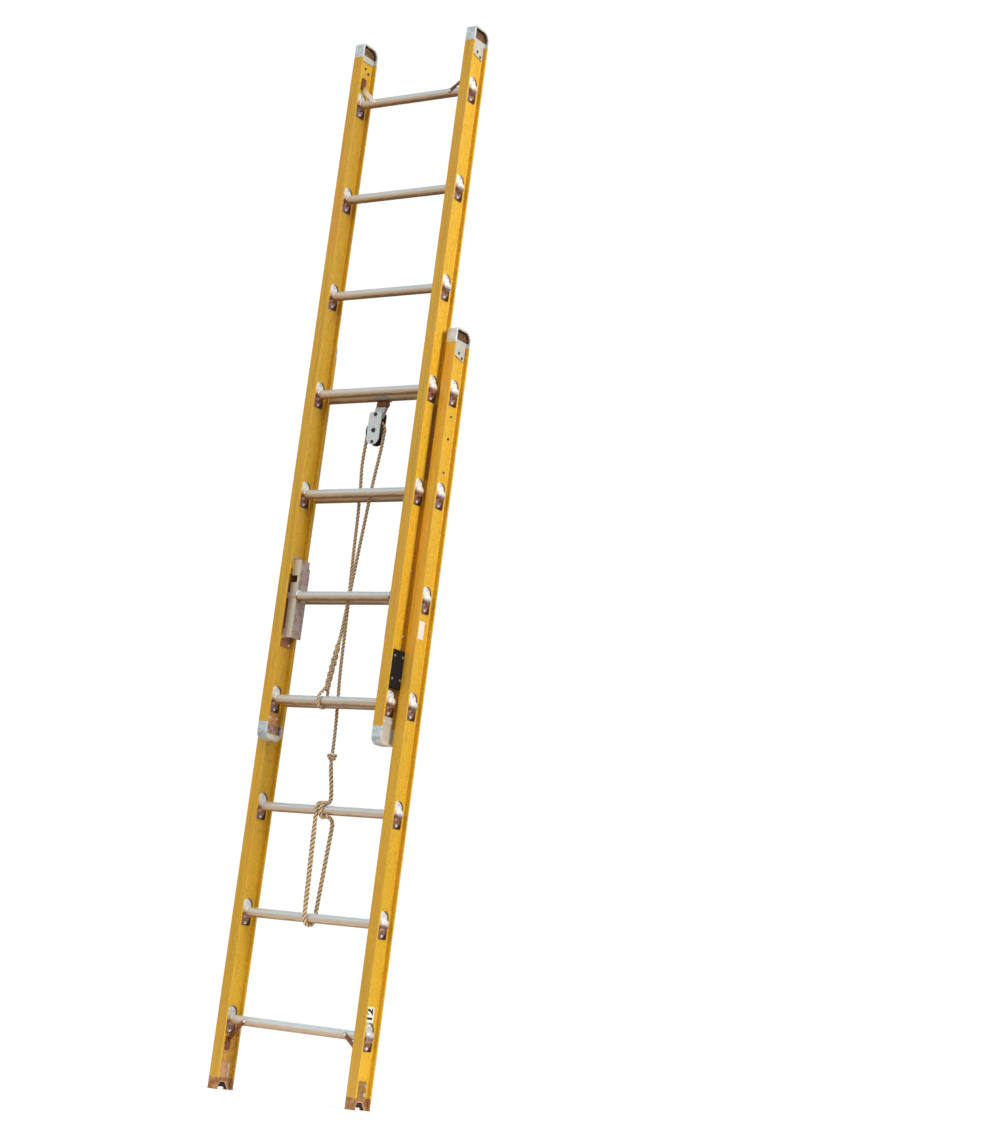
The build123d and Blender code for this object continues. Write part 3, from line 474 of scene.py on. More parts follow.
@dataclass(frozen=True)
class CapMetal(Finish):
    """Cast end cap, pale outside, with painted shade in the hollow of each side, and brown, tan and pale
    tones on the inner face of a bottom cap.
    """

    web: float
    axis_y: float
    end: float
    way: End = End.TOP
    rise: float = 0.052
    front_corner: float = 0.012
    back_corner: float = 0.032
    # Painted shade, with lighter streaks, for the hollow of each side.
    hollow: Colour = tint(104, 72, 46)
    streaked: Colour = tint(172, 132, 92)
    bright: Colour = tint(226, 236, 238)
    grey: Colour = tint(158, 166, 164)
    fawn: Colour = tint(212, 204, 188)
    face: Span = (0.0112, 0.0182)
    half_depth: float = 0.043
    band: float = 0.0065
    web_edge: Span = (0.0360, 0.0365)
    hollow_edge: Span = (0.0005, 0.001)
    plate_top: Span = (0.015, 0.016)
    inner_tone_share: float = 0.0
    inner_tan: Colour = tint(240, 174, 90)
    inner_orange: Colour = tint(204, 138, 86)
    inner_pink: Colour = tint(216, 166, 150)
    inner_dark: Colour = tint(128, 100, 90)
    inner_pale: Colour = tint(255, 250, 230)
    inner_dark_start: Span = (0.006, 0.010)
    inner_pale_start: Span = (0.033, 0.041)
    web_blend: float = 0.002
    relief: float = 0.0005

    def beyond(self, sideways: Wire, past_end: Wire, corner: float) -> Wire:
        """How far a place lies outside the hollow, on the side where a corner is.

        Args:
            sideways: Distance from the rail's middle towards that side.
            past_end: Distance past the rail's end.
            corner: The radius of the cap's corner there.

        Returns:
            The distance, negative inside.
        """
        across = (sideways - (self.half_depth - corner)).most(0.0)
        along = (past_end - (self.rise - corner)).most(0.0)
        return (across * across + along * along).math("SQRT") - (corner - self.band)

    def sockets(self, graph: Graph) -> Settings:
        """Feed the shader with a pale casting, painted shade in its hollows and the tones of its inner face.

        Args:
            graph: The material's node tree.

        Returns:
            Values and wires by socket name.
        """
        x, y, z = graph.xyz
        streak = graph.noise((40.0, 90.0, 260.0))
        cloud = graph.noise(95.0, rough=0.65)
        from_web = x.size() - self.web
        past_end = (z - self.end) * self.way.value
        sideways = y - self.axis_y
        outside = self.beyond(sideways, past_end, self.back_corner)
        outside = outside.most(self.beyond(0.0 - sideways, past_end, self.front_corner))
        near = (1.0 - from_web.size().between(*self.face)) * (1.0 - outside.between(*self.hollow_edge))
        inner = 1.0 - from_web.between(-self.web_blend, self.web_blend)
        on_web = 1.0 - sideways.size().between(*self.web_edge)
        # Painted shade with lighter streaks in the hollow above the plate.
        shade = graph.paint(self.hollow, (streak.between(0.45, 0.7), self.streaked))
        brown = graph.paint(self.inner_pink, (cloud.between(0.46, 0.58), self.inner_dark))
        # Brown, tan and pale tones on the inner face of a bottom cap, by distance past the rail's end.
        inner_tone = graph.paint(
            self.inner_tan, (cloud.between(0.4, 0.56), self.inner_orange),
            (past_end.between(*self.inner_dark_start), brown), (past_end.between(*self.inner_pale_start), self.inner_pale))
        body = graph.paint(
            self.bright, (graph.broad.between(0.42, 0.7) * 0.5, self.grey),
            (cloud.between(0.48, 0.66) * 0.55, self.grey),
            (on_web * (0.45 + 0.5 * graph.broad), self.fawn),
            (near * past_end.between(*self.plate_top), shade), (self.inner_tone_share * inner * near, inner_tone))
        return {"Base Color": body,
                "Roughness": 0.32 + 0.18 * graph.fine, "Metallic": 0.3,
                "Normal": graph.bump(graph.fine * 0.7 + graph.broad * 0.3, self.relief, strength=0.5)}


@dataclass(frozen=True)
class RivetMetal(Finish):
    """Rivets, bright near the rungs and dark elsewhere."""

    name: str = "rivet_heads"
    bright: Colour = tint(250, 248, 242)
    worn_and_low_shade: Colour = tint(176, 160, 146)
    dark: Colour = tint(74, 46, 34)
    bright_to: Span = (0.075, 0.080)
    dark_above: Span = (1.8, 1.9)
    middle: Span = (0.05, 0.06)
    relief: float = 0.0005

    def sockets(self, graph: Graph) -> Settings:
        """Feed the shader with bright and dark heads.

        Args:
            graph: The material's node tree.

        Returns:
            Values and wires by socket name.
        """
        x, _, z = graph.xyz
        away = rung_height(z).size().between(*self.bright_to)
        away = away.most(1.0 - x.size().between(*self.middle)) * z.between(*self.dark_above)
        body = graph.paint(
            self.bright, (graph.rust.between(0.45, 0.7) * 0.4, self.worn_and_low_shade),
            (away * 0.95, self.dark))
        return {"Base Color": body, "Roughness": 0.24 + 0.18 * graph.fine, "Metallic": 0.5,
                "Normal": graph.bump(graph.pitted, self.relief)}


@dataclass(frozen=True)
class StrutMetal(Finish):
    """Flat brace straps, brown as painted dim reflection, with a painted highlight on the one at the top
    left.
    """

    name: str = "brace_straps"
    brown: Colour = tint(158, 100, 68)
    dark: Colour = tint(92, 50, 36)
    bright: Colour = tint(255, 246, 222)
    foot: Span = (0.2305, 0.2315)
    upper: Span = (1.5, 1.6)
    left: Span = (-0.1, 0.0)
    relief: float = 0.0004

    def sockets(self, graph: Graph) -> Settings:
        """Feed the shader with brown straps and a painted highlight on one.

        Args:
            graph: The material's node tree.

        Returns:
            Values and wires by socket name.
        """
        x, _, z = graph.xyz
        strap = 1.0 - x.size().between(*self.foot)
        lit = z.between(*self.upper) * (1.0 - x.between(*self.left)) * strap
        # Painted reflection: brown straps, and a painted highlight on the upper left one.
        body = graph.paint(
            self.brown, (graph.rust.between(0.35, 0.65) * 0.9, self.dark),
            (lit * (0.85 + 0.15 * graph.rust), self.bright))
        return {"Base Color": body, "Roughness": 0.36 + 0.18 * graph.fine, "Metallic": 0.4 - 0.4 * lit,
                "Normal": graph.bump(graph.pitted, self.relief)}


@dataclass(frozen=True)
class HangerMetal(Finish):
    """The pulley's hanger, with a pale strap and tongue and a brown knuckle between them."""

    name: str = "hanger_steel"
    brown: Colour = tint(150, 108, 78)
    dark: Colour = tint(86, 54, 36)
    pale: Colour = tint(212, 216, 220)
    tongue_to: Span = (2.3215, 2.3235)
    saddle_from: Span = (2.3465, 2.3485)
    ragged_by: float = 0.006
    relief: float = 0.0005

    def sockets(self, graph: Graph) -> Settings:
        """Feed the shader with pale ends and a brown knuckle.

        Args:
            graph: The material's node tree.

        Returns:
            Values and wires by socket name.
        """
        _, _, z = graph.xyz
        ragged = z + (graph.rust - 0.5) * self.ragged_by
        ends = (1.0 - ragged.between(*self.tongue_to)).most(ragged.between(*self.saddle_from))
        body = graph.paint(
            self.brown, (graph.rust.between(0.4, 0.7) * 0.8, self.dark),
            (ends * (0.7 + 0.3 * graph.fine), self.pale))
        return {"Base Color": body, "Roughness": 0.42 + 0.18 * graph.fine, "Metallic": 0.4,
                "Normal": graph.bump(graph.pitted, self.relief)}


@dataclass(frozen=True)
class CheekMetal(Finish):
    """Galvanised cheek plates of the pulley, the far one with painted shade."""

    name: str = "galvanised_cheeks"
    bright: Colour = tint(250, 255, 255)
    spangle: Colour = tint(190, 222, 226)
    far_shade: Colour = tint(84, 52, 46)
    far_from: Span = (0.030, 0.032)
    relief: float = 0.0003

    def sockets(self, graph: Graph) -> Settings:
        """Feed the shader with spangle and painted shade on the far plate.

        Args:
            graph: The material's node tree.

        Returns:
            Values and wires by socket name.
        """
        _, y, _ = graph.xyz
        spangle = graph.noise(190.0)
        # Painted shade on the far cheek.
        body = graph.paint(
            self.bright, (spangle.between(0.45, 0.6) * 0.7, self.spangle),
            (y.between(*self.far_from), self.far_shade))
        return {"Base Color": body, "Roughness": 0.3 + 0.16 * graph.fine, "Metallic": 0.0,
                "Normal": graph.bump(graph.fine * 0.5 + spangle * 0.5, self.relief, strength=0.5)}


@dataclass(frozen=True)
class FootMetal(Finish):
    """Worn steel foot, with pale edges round a recess in painted shade."""

    name: str = "worn_steel"
    steel: Colour = tint(184, 136, 84)
    rust: Colour = tint(132, 76, 44)
    olive: Colour = tint(164, 122, 54)
    pink: Colour = tint(222, 168, 122)
    stain: Colour = tint(96, 74, 58)
    edge: Colour = tint(250, 218, 172)
    recess: Colour = tint(52, 22, 26)
    recess_top: float = 0.025
    recess_sides: Span = (0.031, 0.013)
    recess_floor: Span = (0.0032, 0.0040)
    recess_fades: Span = (-0.001, 0.0)
    rim_width: Span = (0.0008, 0.0022)
    face: Span = (0.0074, 0.0080)
    tongue_from: Span = (0.038, 0.041)
    right_from: Span = (-0.1, 0.1)
    relief: float = 0.0006

    def sockets(self, graph: Graph) -> Settings:
        """Feed the shader with steel, rust, the rim and painted shade in the recess.

        Args:
            graph: The material's node tree.

        Returns:
            Values and wires by socket name.
        """
        x, y, z = graph.xyz
        broad = graph.noise(60.0)
        fine = graph.noise(320.0, detail=4.0, rough=0.7)
        blotch = graph.noise(130.0, rough=0.65).between(0.52, 0.64)
        from_web = (x.size() - BASE_WEB).size()
        half_foot, half_top = self.recess_sides
        slope = (half_foot - half_top) / self.recess_top
        outside = ((y - BASE_Y).size() - (half_foot - z * slope)).most(z - self.recess_top)
        rim = (1.0 - outside.size().between(*self.rim_width)) * (1.0 - from_web.between(*self.face))
        inner = (1.0 - from_web.between(*self.recess_floor)) * (1.0 - outside.between(*self.recess_fades))
        right = x.between(*self.right_from)
        tongue = z.between(*self.tongue_from)
        # Painted shade: the floor of the recess is near black.
        body = graph.paint(
            self.steel, (broad.between(0.35, 0.7) * 0.8, self.rust),
            ((fine.between(0.5, 0.7) * 0.5).most(tongue * right * 0.7), self.olive),
            (tongue * (1.0 - right) * (0.6 + 0.4 * broad), self.pink),
            (tongue * blotch * 0.65, self.stain), (rim * 0.85, self.edge), (inner, self.recess))
        return {"Base Color": body, "Roughness": 0.5 + 0.2 * fine, "Metallic": 0.35,
                "Normal": graph.bump(fine * 0.6 + broad * 0.4, self.relief)}


@dataclass(frozen=True)
class LockMetal(Finish):
    """Mill-finish lock housing with a pale front, painted mauve-grey shade on its side and a painted brown
    shadow on its lower tab.
    """

    name: str = "mill_lock"
    pale: Colour = tint(228, 230, 214)
    mauve_shade: Colour = tint(208, 188, 180)
    brown: Colour = tint(162, 130, 114)
    tab_shadow: Colour = tint(190, 126, 98)
    shaded_side_from: Span = (-0.0425, -0.0405)
    tab_shadow_to: Span = (1.5025, 1.5035)
    relief: float = 0.00015

    def sockets(self, graph: Graph) -> Settings:
        """Feed the shader with drawn metal, a pale front, painted shade on the side and a painted shadow on
        the lower tab.

        Args:
            graph: The material's node tree.

        Returns:
            Values and wires by socket name.
        """
        _, y, z = graph.xyz
        drawn = graph.noise((60.0, 500.0, 14.0))
        side = graph.paint(self.mauve_shade, (graph.noise(70.0).between(0.4, 0.7), self.brown))
        # Painted shade on the side face and painted shadow on the lower tab.
        body = graph.paint(
            self.pale, (y.between(*self.shaded_side_from), side),
            (1.0 - z.between(*self.tab_shadow_to), self.tab_shadow))
        return {"Base Color": body, "Roughness": 0.34 + 0.18 * drawn, "Metallic": 0.5,
                "Normal": graph.bump(drawn, self.relief, strength=0.4)}


@dataclass(frozen=True)
class Metal(Finish):
    """A plain metal with grain and rust spots."""

    bright: Colour
    dark: Colour
    roughness: float
    metallic: float
    grime: float
    relief: float = 0.0005

    def sockets(self, graph: Graph) -> Settings:
        """Feed the shader with stains and rust.

        Args:
            graph: The material's node tree.

        Returns:
            Values and wires by socket name.
        """
        stain = graph.broad.between(0.45, 0.75) * 0.6 + graph.rust.between(0.45, 0.7) * 0.6
        share = stain.math("MINIMUM", 1.0) * self.grime
        return {"Base Color": graph.paint(self.bright, (share, self.dark)),
                "Roughness": self.roughness + 0.18 * graph.fine, "Metallic": self.metallic,
                "Normal": graph.bump(graph.pitted, self.relief)}


@dataclass(frozen=True)
class Plastic(Finish):
    """A moulded plastic with a fine texture."""

    colour: Colour
    scuffed: Colour
    roughness: float = 0.5
    gloss: float = 0.5
    relief: float = 0.0002

    def sockets(self, graph: Graph) -> Settings:
        """Feed the shader with scuffs.

        Args:
            graph: The material's node tree.

        Returns:
            Values and wires by socket name.
        """
        scuff = graph.noise((160.0, 160.0, 30.0), detail=4.0, rough=0.65)
        fine = graph.noise(900.0, detail=2.0, rough=0.5)
        return {"Base Color": graph.paint(self.colour, (scuff.between(0.5, 0.85) * 0.6, self.scuffed)),
                "Roughness": self.roughness + 0.2 * scuff, "Specular IOR Level": self.gloss,
                "Normal": graph.bump(fine * 0.6 + scuff * 0.4, self.relief, strength=0.5)}


@dataclass(frozen=True)
class LaidRope(Finish):
    """Natural-fibre rope, with painted shade between its strands."""

    straw: Colour = tint(220, 182, 130)
    pale: Colour = tint(255, 236, 202)
    valley_shade: Colour = tint(84, 54, 30)
    lay: float = HALYARD_LAY
    relief: float = 0.0006

    def sockets(self, graph: Graph) -> Settings:
        """Feed the shader by a UV map that holds the turn round the rope and the length along it.

        Args:
            graph: The material's node tree.

        Returns:
            Values and wires by socket name.
        """
        turn, along, _ = graph.parts(graph.node("ShaderNodeTexCoord", {}, result="UV"))
        crown = (turn * (STRANDS * 2 * math.pi)).math("COSINE") * 0.5 + 0.5
        yarn = graph.node("ShaderNodeCombineXYZ", {}, turn + along / self.lay, along, 0.0)
        fibre = graph.noise((34.0, 90.0, 1.0), rough=0.65, vector=yarn)
        patch = graph.noise((1.5, 40.0, 1.0), detail=2.0, rough=0.5, vector=yarn)
        # Painted shade in the valleys between the strands, and darker fibres.
        gap = (1.0 - crown.between(0.04, 0.5)) * 0.9 + (1.0 - fibre.between(0.22, 0.45)) * 0.3
        body = graph.paint(
            self.straw, (fibre.between(0.35, 0.7) * 0.7 + patch * 0.2, self.pale),
            (gap.math("MINIMUM", 1.0), self.valley_shade))
        return {"Base Color": body, "Roughness": 0.85, "Sheen Weight": 0.25, "Specular IOR Level": 0.2,
                "Normal": graph.bump(fibre * 0.6 + crown * 0.4, self.relief)}


@dataclass(frozen=True)
class Sticker(Finish):
    """A plain printed label."""

    paper: Colour
    aged: Colour
    roughness: float = 0.45
    relief: float = 0.00008

    def sockets(self, graph: Graph) -> Settings:
        """Feed the shader with a little wear."""
        wear = graph.noise(90.0, detail=4.0)
        return {"Base Color": graph.paint(self.paper, (wear.between(0.5, 0.8) * 0.5, self.aged)),
                "Roughness": self.roughness + 0.1 * wear,
                "Normal": graph.bump(wear, self.relief, strength=0.4)}


@dataclass(frozen=True)
class PaleFloor(Finish):
    """Pale floor that fades out into the white around it."""

    name: str = "pale_floor"
    pale: Colour = (0.93, 0.93, 0.93)
    paler: Colour = (0.96, 0.96, 0.96)
    glow: Colour = (1.0, 1.0, 1.0)
    glow_strength: float = 0.26
    fades: Span = (0.4, 1.6)

    def sockets(self, graph: Graph) -> Settings:
        """Feed the shader with faint shading and a fading edge.

        Args:
            graph: The material's node tree.

        Returns:
            Values and wires by socket name.
        """
        x, y, _ = graph.xyz
        shade = graph.noise(3.0, detail=2.0, rough=0.5)
        reach = (x * x + y * y).math("SQRT")
        return {"Base Color": graph.paint(self.pale, (shade * 0.3, self.paler)), "Roughness": 0.9,
                "Alpha": 1.0 - reach.between(*self.fades), "Emission Color": self.glow,
                "Emission Strength": self.glow_strength, "Specular IOR Level": 0.1}


def placed(name: str, data: bpy.types.ID) -> Piece:
    """Make an object and put it in the scene.

    Args:
        name: Its name.
        data: Its mesh, curve, lamp or camera.

    Returns:
        The object.
    """
    made = bpy.data.objects.new(name, data)
    bpy.context.scene.collection.objects.link(made)
    return made


def strides(points: np.ndarray) -> np.ndarray:
    """Distances between neighbouring points, which are in rows."""
    return np.linalg.norm(np.diff(points, axis=0), axis=1)


class Route:
    """A rope's line: a NURBS spline steered by its route points, read back as evenly spaced points."""

    order: int = 3
    pieces_per_knot: int = 24
    least_count: int = 8
    same_point: float = 1e-7
    along_x: float = 0.8

    def __init__(self, points: Iterable[Sequence[float]], step: float) -> None:
        """Make the spline and read it.

        Args:
            points: The route's control points, in millimetres.
            step: The spacing of the points that are read, in metres.
        """
        spots = [Vector(p) * MM for p in points]
        curve = bpy.data.curves.new("route", "CURVE")
        curve.dimensions = "3D"
        curve.resolution_u = self.pieces_per_knot
        spline = curve.splines.new("NURBS")
        spline.points.add(len(spots) - 1)
        for knot, spot in zip(spline.points, spots):
            knot.co = (*spot, 1.0)
        spline.order_u = self.order
        spline.use_endpoint_u = True
        holder = placed("route", curve)
        bpy.context.view_layer.update()
        mesh = bpy.data.meshes.new_from_object(holder)
        raw = np.array([v.co[:] for v in mesh.vertices])
        bpy.data.objects.remove(holder)
        bpy.data.meshes.remove(mesh)
        raw = raw[np.concatenate(([True], strides(raw) > self.same_point))]
        run = np.concatenate(([0.0], np.cumsum(strides(raw))))
        self.length = float(run[-1])
        count = max(self.least_count, int(round(self.length / step)))
        self.at = np.linspace(0.0, self.length, count + 1)
        self.points = np.stack([np.interp(self.at, run, raw[:, k]) for k in range(3)], axis=1)

    def sides(self) -> tuple[np.ndarray, np.ndarray]:
        """Two directions across the line at each point, which turn as little as they can.

        Returns:
            First sides and second sides.
        """
        way = np.gradient(self.points, axis=0)
        way /= np.linalg.norm(way, axis=1)[:, None]
        side = np.empty_like(way)
        guess = np.array([1.0, 0.0, 0.0]) if abs(way[0][0]) < self.along_x else np.array([0.0, 1.0, 0.0])
        for n, tangent in enumerate(way):
            guess = guess - tangent * float(guess @ tangent)
            guess = guess / np.linalg.norm(guess)
            side[n] = guess
        return side, np.cross(way, side)

    def nearest(self, spot: Sequence[float]) -> int:
        """Number of the read point nearest to a place, which is in millimetres."""
        return int(np.argmin(np.linalg.norm(self.points - np.array(spot) * MM, axis=1)))


def lobe(angle: float, strand: float = 0.57) -> float:
    """Radius of a laid rope's outline, as a share of its full radius.

    Args:
        angle: Angle round the rope, with a strand's crown at 0.
        strand: A strand's radius, as a share of the rope's.

    Returns:
        The share.
    """
    part = 2 * math.pi / STRANDS
    off = (angle + part / 2) % part - part / 2
    middle = 1.0 - strand
    return middle * math.cos(off) + math.sqrt(max(0.0, strand ** 2 - (middle * math.sin(off)) ** 2))


def plain(angle: float) -> float:
    """Radius of a round outline at any angle, as a share of its full radius."""
    return 1.0


@dataclass
class RopeTube:
    """Makes the mesh of a laid rope along a stretch of a route."""

    finish: Material
    lay: float
    sides: int = 24
    outline: Callable[[float], float] = lobe

    def make(self, name: str, route: Route, radius: Callable[[float], float],
             first: int = 0, last: int = -1) -> Piece:
        """Make the piece.

        Args:
            name: The piece's name.
            route: The route that it follows.
            radius: Radius in metres at a length along the route.
            first: Number of the route point where it starts.
            last: Number of the route point where it ends.

        Returns:
            The piece.
        """
        side, cross = route.sides()
        last = len(route.points) - 1 if last < 0 else last
        sides = self.sides
        angles = np.arange(sides) * 2 * math.pi / sides
        shares = np.array([self.outline(a) for a in angles])
        rings = []
        for n in range(first, last + 1):
            turn = (angles + 2 * math.pi * route.at[n] / self.lay)[:, None]
            reach = (shares * radius(float(route.at[n])))[:, None]
            rings.append(route.points[n] + reach * (np.cos(turn) * side[n] + np.sin(turn) * cross[n]))
        grid = np.concatenate([*rings, route.points[first][None], route.points[last][None]])
        faces, places = [], []
        for n in range(len(rings) - 1):
            low, high = route.at[first + n], route.at[first + n + 1]
            row, above = n * sides, (n + 1) * sides
            for k in range(sides):
                far = (k + 1) % sides
                left, right = k / sides, (k + 1) / sides
                faces.append((row + k, row + far, above + far, above + k))
                places += [(left, low), (right, low), (right, high), (left, high)]
        end_row, start = (len(rings) - 1) * sides, len(rings) * sides
        for k in range(sides):
            far = (k + 1) % sides
            faces += [(start, far, k), (start + 1, end_row + k, end_row + far)]
            places += [(k / sides, route.at[first])] * 3 + [(k / sides, route.at[last])] * 3
        mesh = bpy.data.meshes.new(name)
        mesh.from_pydata(grid.tolist(), [], faces)
        layer = mesh.uv_layers.new(name="lay")
        layer.data.foreach_set("uv", np.array(places).ravel())
        mesh.polygons.foreach_set("use_smooth", [True] * len(mesh.polygons))
        mesh.materials.append(self.finish)
        mesh.update()
        log.info("%s: %d faces", name, len(faces))
        return placed(name, mesh)


def join(pieces: Sequence[Piece]) -> None:
    """Join pieces into the first one.

    Args:
        pieces: The pieces.
    """
    bpy.ops.object.select_all(action="DESELECT")
    for piece in pieces:
        piece.select_set(True)
    bpy.context.view_layer.objects.active = pieces[0]
    bpy.ops.object.join()


@dataclass
class Halyard:
    """The hoisting rope, from its eye on the fly over the sheave to the joining knot."""

    finish: Material
    radius: float = 0.0062
    lay: float = HALYARD_LAY
    step: float = 0.0021
    pulley_x: float = -14.0
    pulley_y: float = 31.0
    axle_z: float = 2240.6
    turn_radius: float = 35.4
    turn_corners: int = 4
    eye_radius: float = 0.0058
    splice_lay: float = 0.032
    splice_swell: float = 0.0032
    splice_taper: float = 2.2
    ripple: float = 0.0005
    ripple_length: float = 0.026
    tuck_radius: float = 0.0031
    tuck_taper: float = 0.35
    tuck_lay: float = 0.075
    tuck_lift: float = 0.0056
    tuck_wave: float = 0.0016
    tuck_wave_length: float = 0.034
    tuck_phase: float = 2.1
    tuck_reach: float = 0.86
    tuck_from: int = 2
    tuck_every: int = 3
    tuck_sides: int = 10
    hand_bend: int = 2
    splice_run: tuple[Point, ...] = (
        (-32.2, -19.0, 1330.0), (-29.0, -17.2, 1372.0), (-17.0, -14.2, 1462.0), (-10.6, -12.3, 1512.0))
    fly_run: tuple[Point, ...] = (
        (-7.8, -11.3, 1538.0), (-4.5, -8.9, 1595.0), (11.6, 3.2, 1898.0), (15.9, 6.8, 1978.0),
        (16.9, 7.6, 2003.0), (17.9, 8.6, 2028.0), (19.4, 17.6, 2098.0), (21.4, 30.6, 2196.0),
        (21.4, 31.0, 2226.0))
    rung_pass: Point = (16.9, 7.6, 2003.0)
    hand_run: tuple[Point, ...] = (
        (-49.4, 31.0, 2226.0), (-49.9, 31.05, 2202.0), (-64.5, 43.0, 2128.0), (-65.0, 55.0, 2046.0),
        (-61.0, 56.5, 1955.0), (-57.0, 55.0, 1820.0), (-52.0, 56.5, 1680.0), (-46.5, 55.0, 1545.0),
        (-45.0, 56.0, 1410.0), (-36.0, 55.5, 1300.0), (-28.5, 54.5, 1200.0), (-28.0, 54.0, 1132.4))
    eye_run: tuple[Point, ...] = (
        (-32.0, -13.2, 1347.0), (-33.0, -8.2, 1318.0), (-33.0, -6.0, 1270.6), (-33.0, -56.0, 1270.6),
        (-33.4, -55.6, 1311.0), (-33.4, -29.0, 1333.0), (-32.5, -20.0, 1347.0))
    hand_path: np.ndarray = field(init=False)

    def on_sheave(self, angle: float, radius: float) -> Point:
        """A place on a circle round the axle, in millimetres, by its angle from the fly's side."""
        return (self.pulley_x + radius * math.cos(angle), self.pulley_y,
                self.axle_z + radius * math.sin(angle))

    def build(self) -> Piece:
        """Make the four stretches and the eye, and tie the turn to the pulley and the eye to the fly.

        Returns:
            The hand run, which the joining knot ends.
        """
        half_corner = math.pi / 2 / self.turn_corners
        reach = self.turn_radius / math.cos(half_corner)
        over_sheave = [self.on_sheave(half_corner * (2 * n + 1), reach) for n in range(self.turn_corners)]
        route = Route([*self.splice_run, *self.fly_run, *over_sheave, *self.hand_run], self.step)
        fly_side, hand_side = (self.on_sheave(angle, self.turn_radius) for angle in (0.0, math.pi))
        passes = [route.nearest(spot) for spot in (self.rung_pass, fly_side, hand_side)]
        marks = [0, *passes, len(route.points) - 1]
        tube = RopeTube(self.finish, self.lay)
        runs, paths = [], []
        names = ("halyard_lower_run", "halyard_upper_run", "halyard_turn", "halyard_hand_run")
        for name, first, last in zip(names, marks, marks[1:]):
            run = tube.make("rope_" + name, route, lambda s: self.radius, first, last)
            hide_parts(name)
            runs.append(run)
            paths.append(route.points[first:last + 1])
        lower, upper, turn, hand = runs
        lower_path, upper_path, turn_path, self.hand_path = paths
        eye = self.eye()
        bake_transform(lower)
        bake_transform(upper)
        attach(turn, "pulley")
        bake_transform(hand)
        return hand

    def eye(self) -> Piece:
        """Make the eye round the lowest fly rung with its splice, as one piece.

        Returns:
            The piece.
        """
        eye = RopeTube(self.finish, self.lay).make("rope_halyard_eye", Route(self.eye_run, self.step),
                                                   lambda s: self.eye_radius)
        body = Route(self.splice_run, self.step)
        core = RopeTube(self.finish, self.splice_lay).make(
            "rope_splice_body", body,
            lambda s: (self.radius + self.swell(s / body.length)
                       + self.ripple * math.sin(s * 2 * math.pi / self.ripple_length)))
        join([eye, core, *(self.tuck(body, n) for n in range(STRANDS))])
        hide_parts("halyard_eye")
        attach(eye, "fly")
        return eye

    def swell(self, share: float) -> float:
        """Growth of the splice's radius in metres, at a share of its length from the eye."""
        return self.splice_swell * min(1.0, self.splice_taper * (1 - share))

    def tuck(self, body: Route, number: int) -> Piece:
        """Make one strand that is tucked over and under through the splice.

        Args:
            body: The splice's route.
            number: Which of the strands it is.

        Returns:
            The strand.
        """
        side, cross = body.sides()
        spots = []
        for n in range(self.tuck_from, int(len(body.points) * self.tuck_reach), self.tuck_every):
            s = body.at[n]
            turn = -2 * math.pi * s / self.tuck_lay + number * 2 * math.pi / STRANDS
            wave = math.sin(2 * math.pi * s / self.tuck_wave_length + number * self.tuck_phase)
            lift = self.tuck_lift + self.swell(s / body.length) + self.tuck_wave * wave
            spot = body.points[n] + lift * (math.cos(turn) * side[n] + math.sin(turn) * cross[n])
            spots.append(spot / MM)
        strand = Route(spots, self.step)
        return RopeTube(self.finish, self.lay, sides=self.tuck_sides, outline=plain).make(
            f"rope_tuck_{number}", strand,
            lambda s: self.tuck_radius * (1 - self.tuck_taper * s / strand.length))


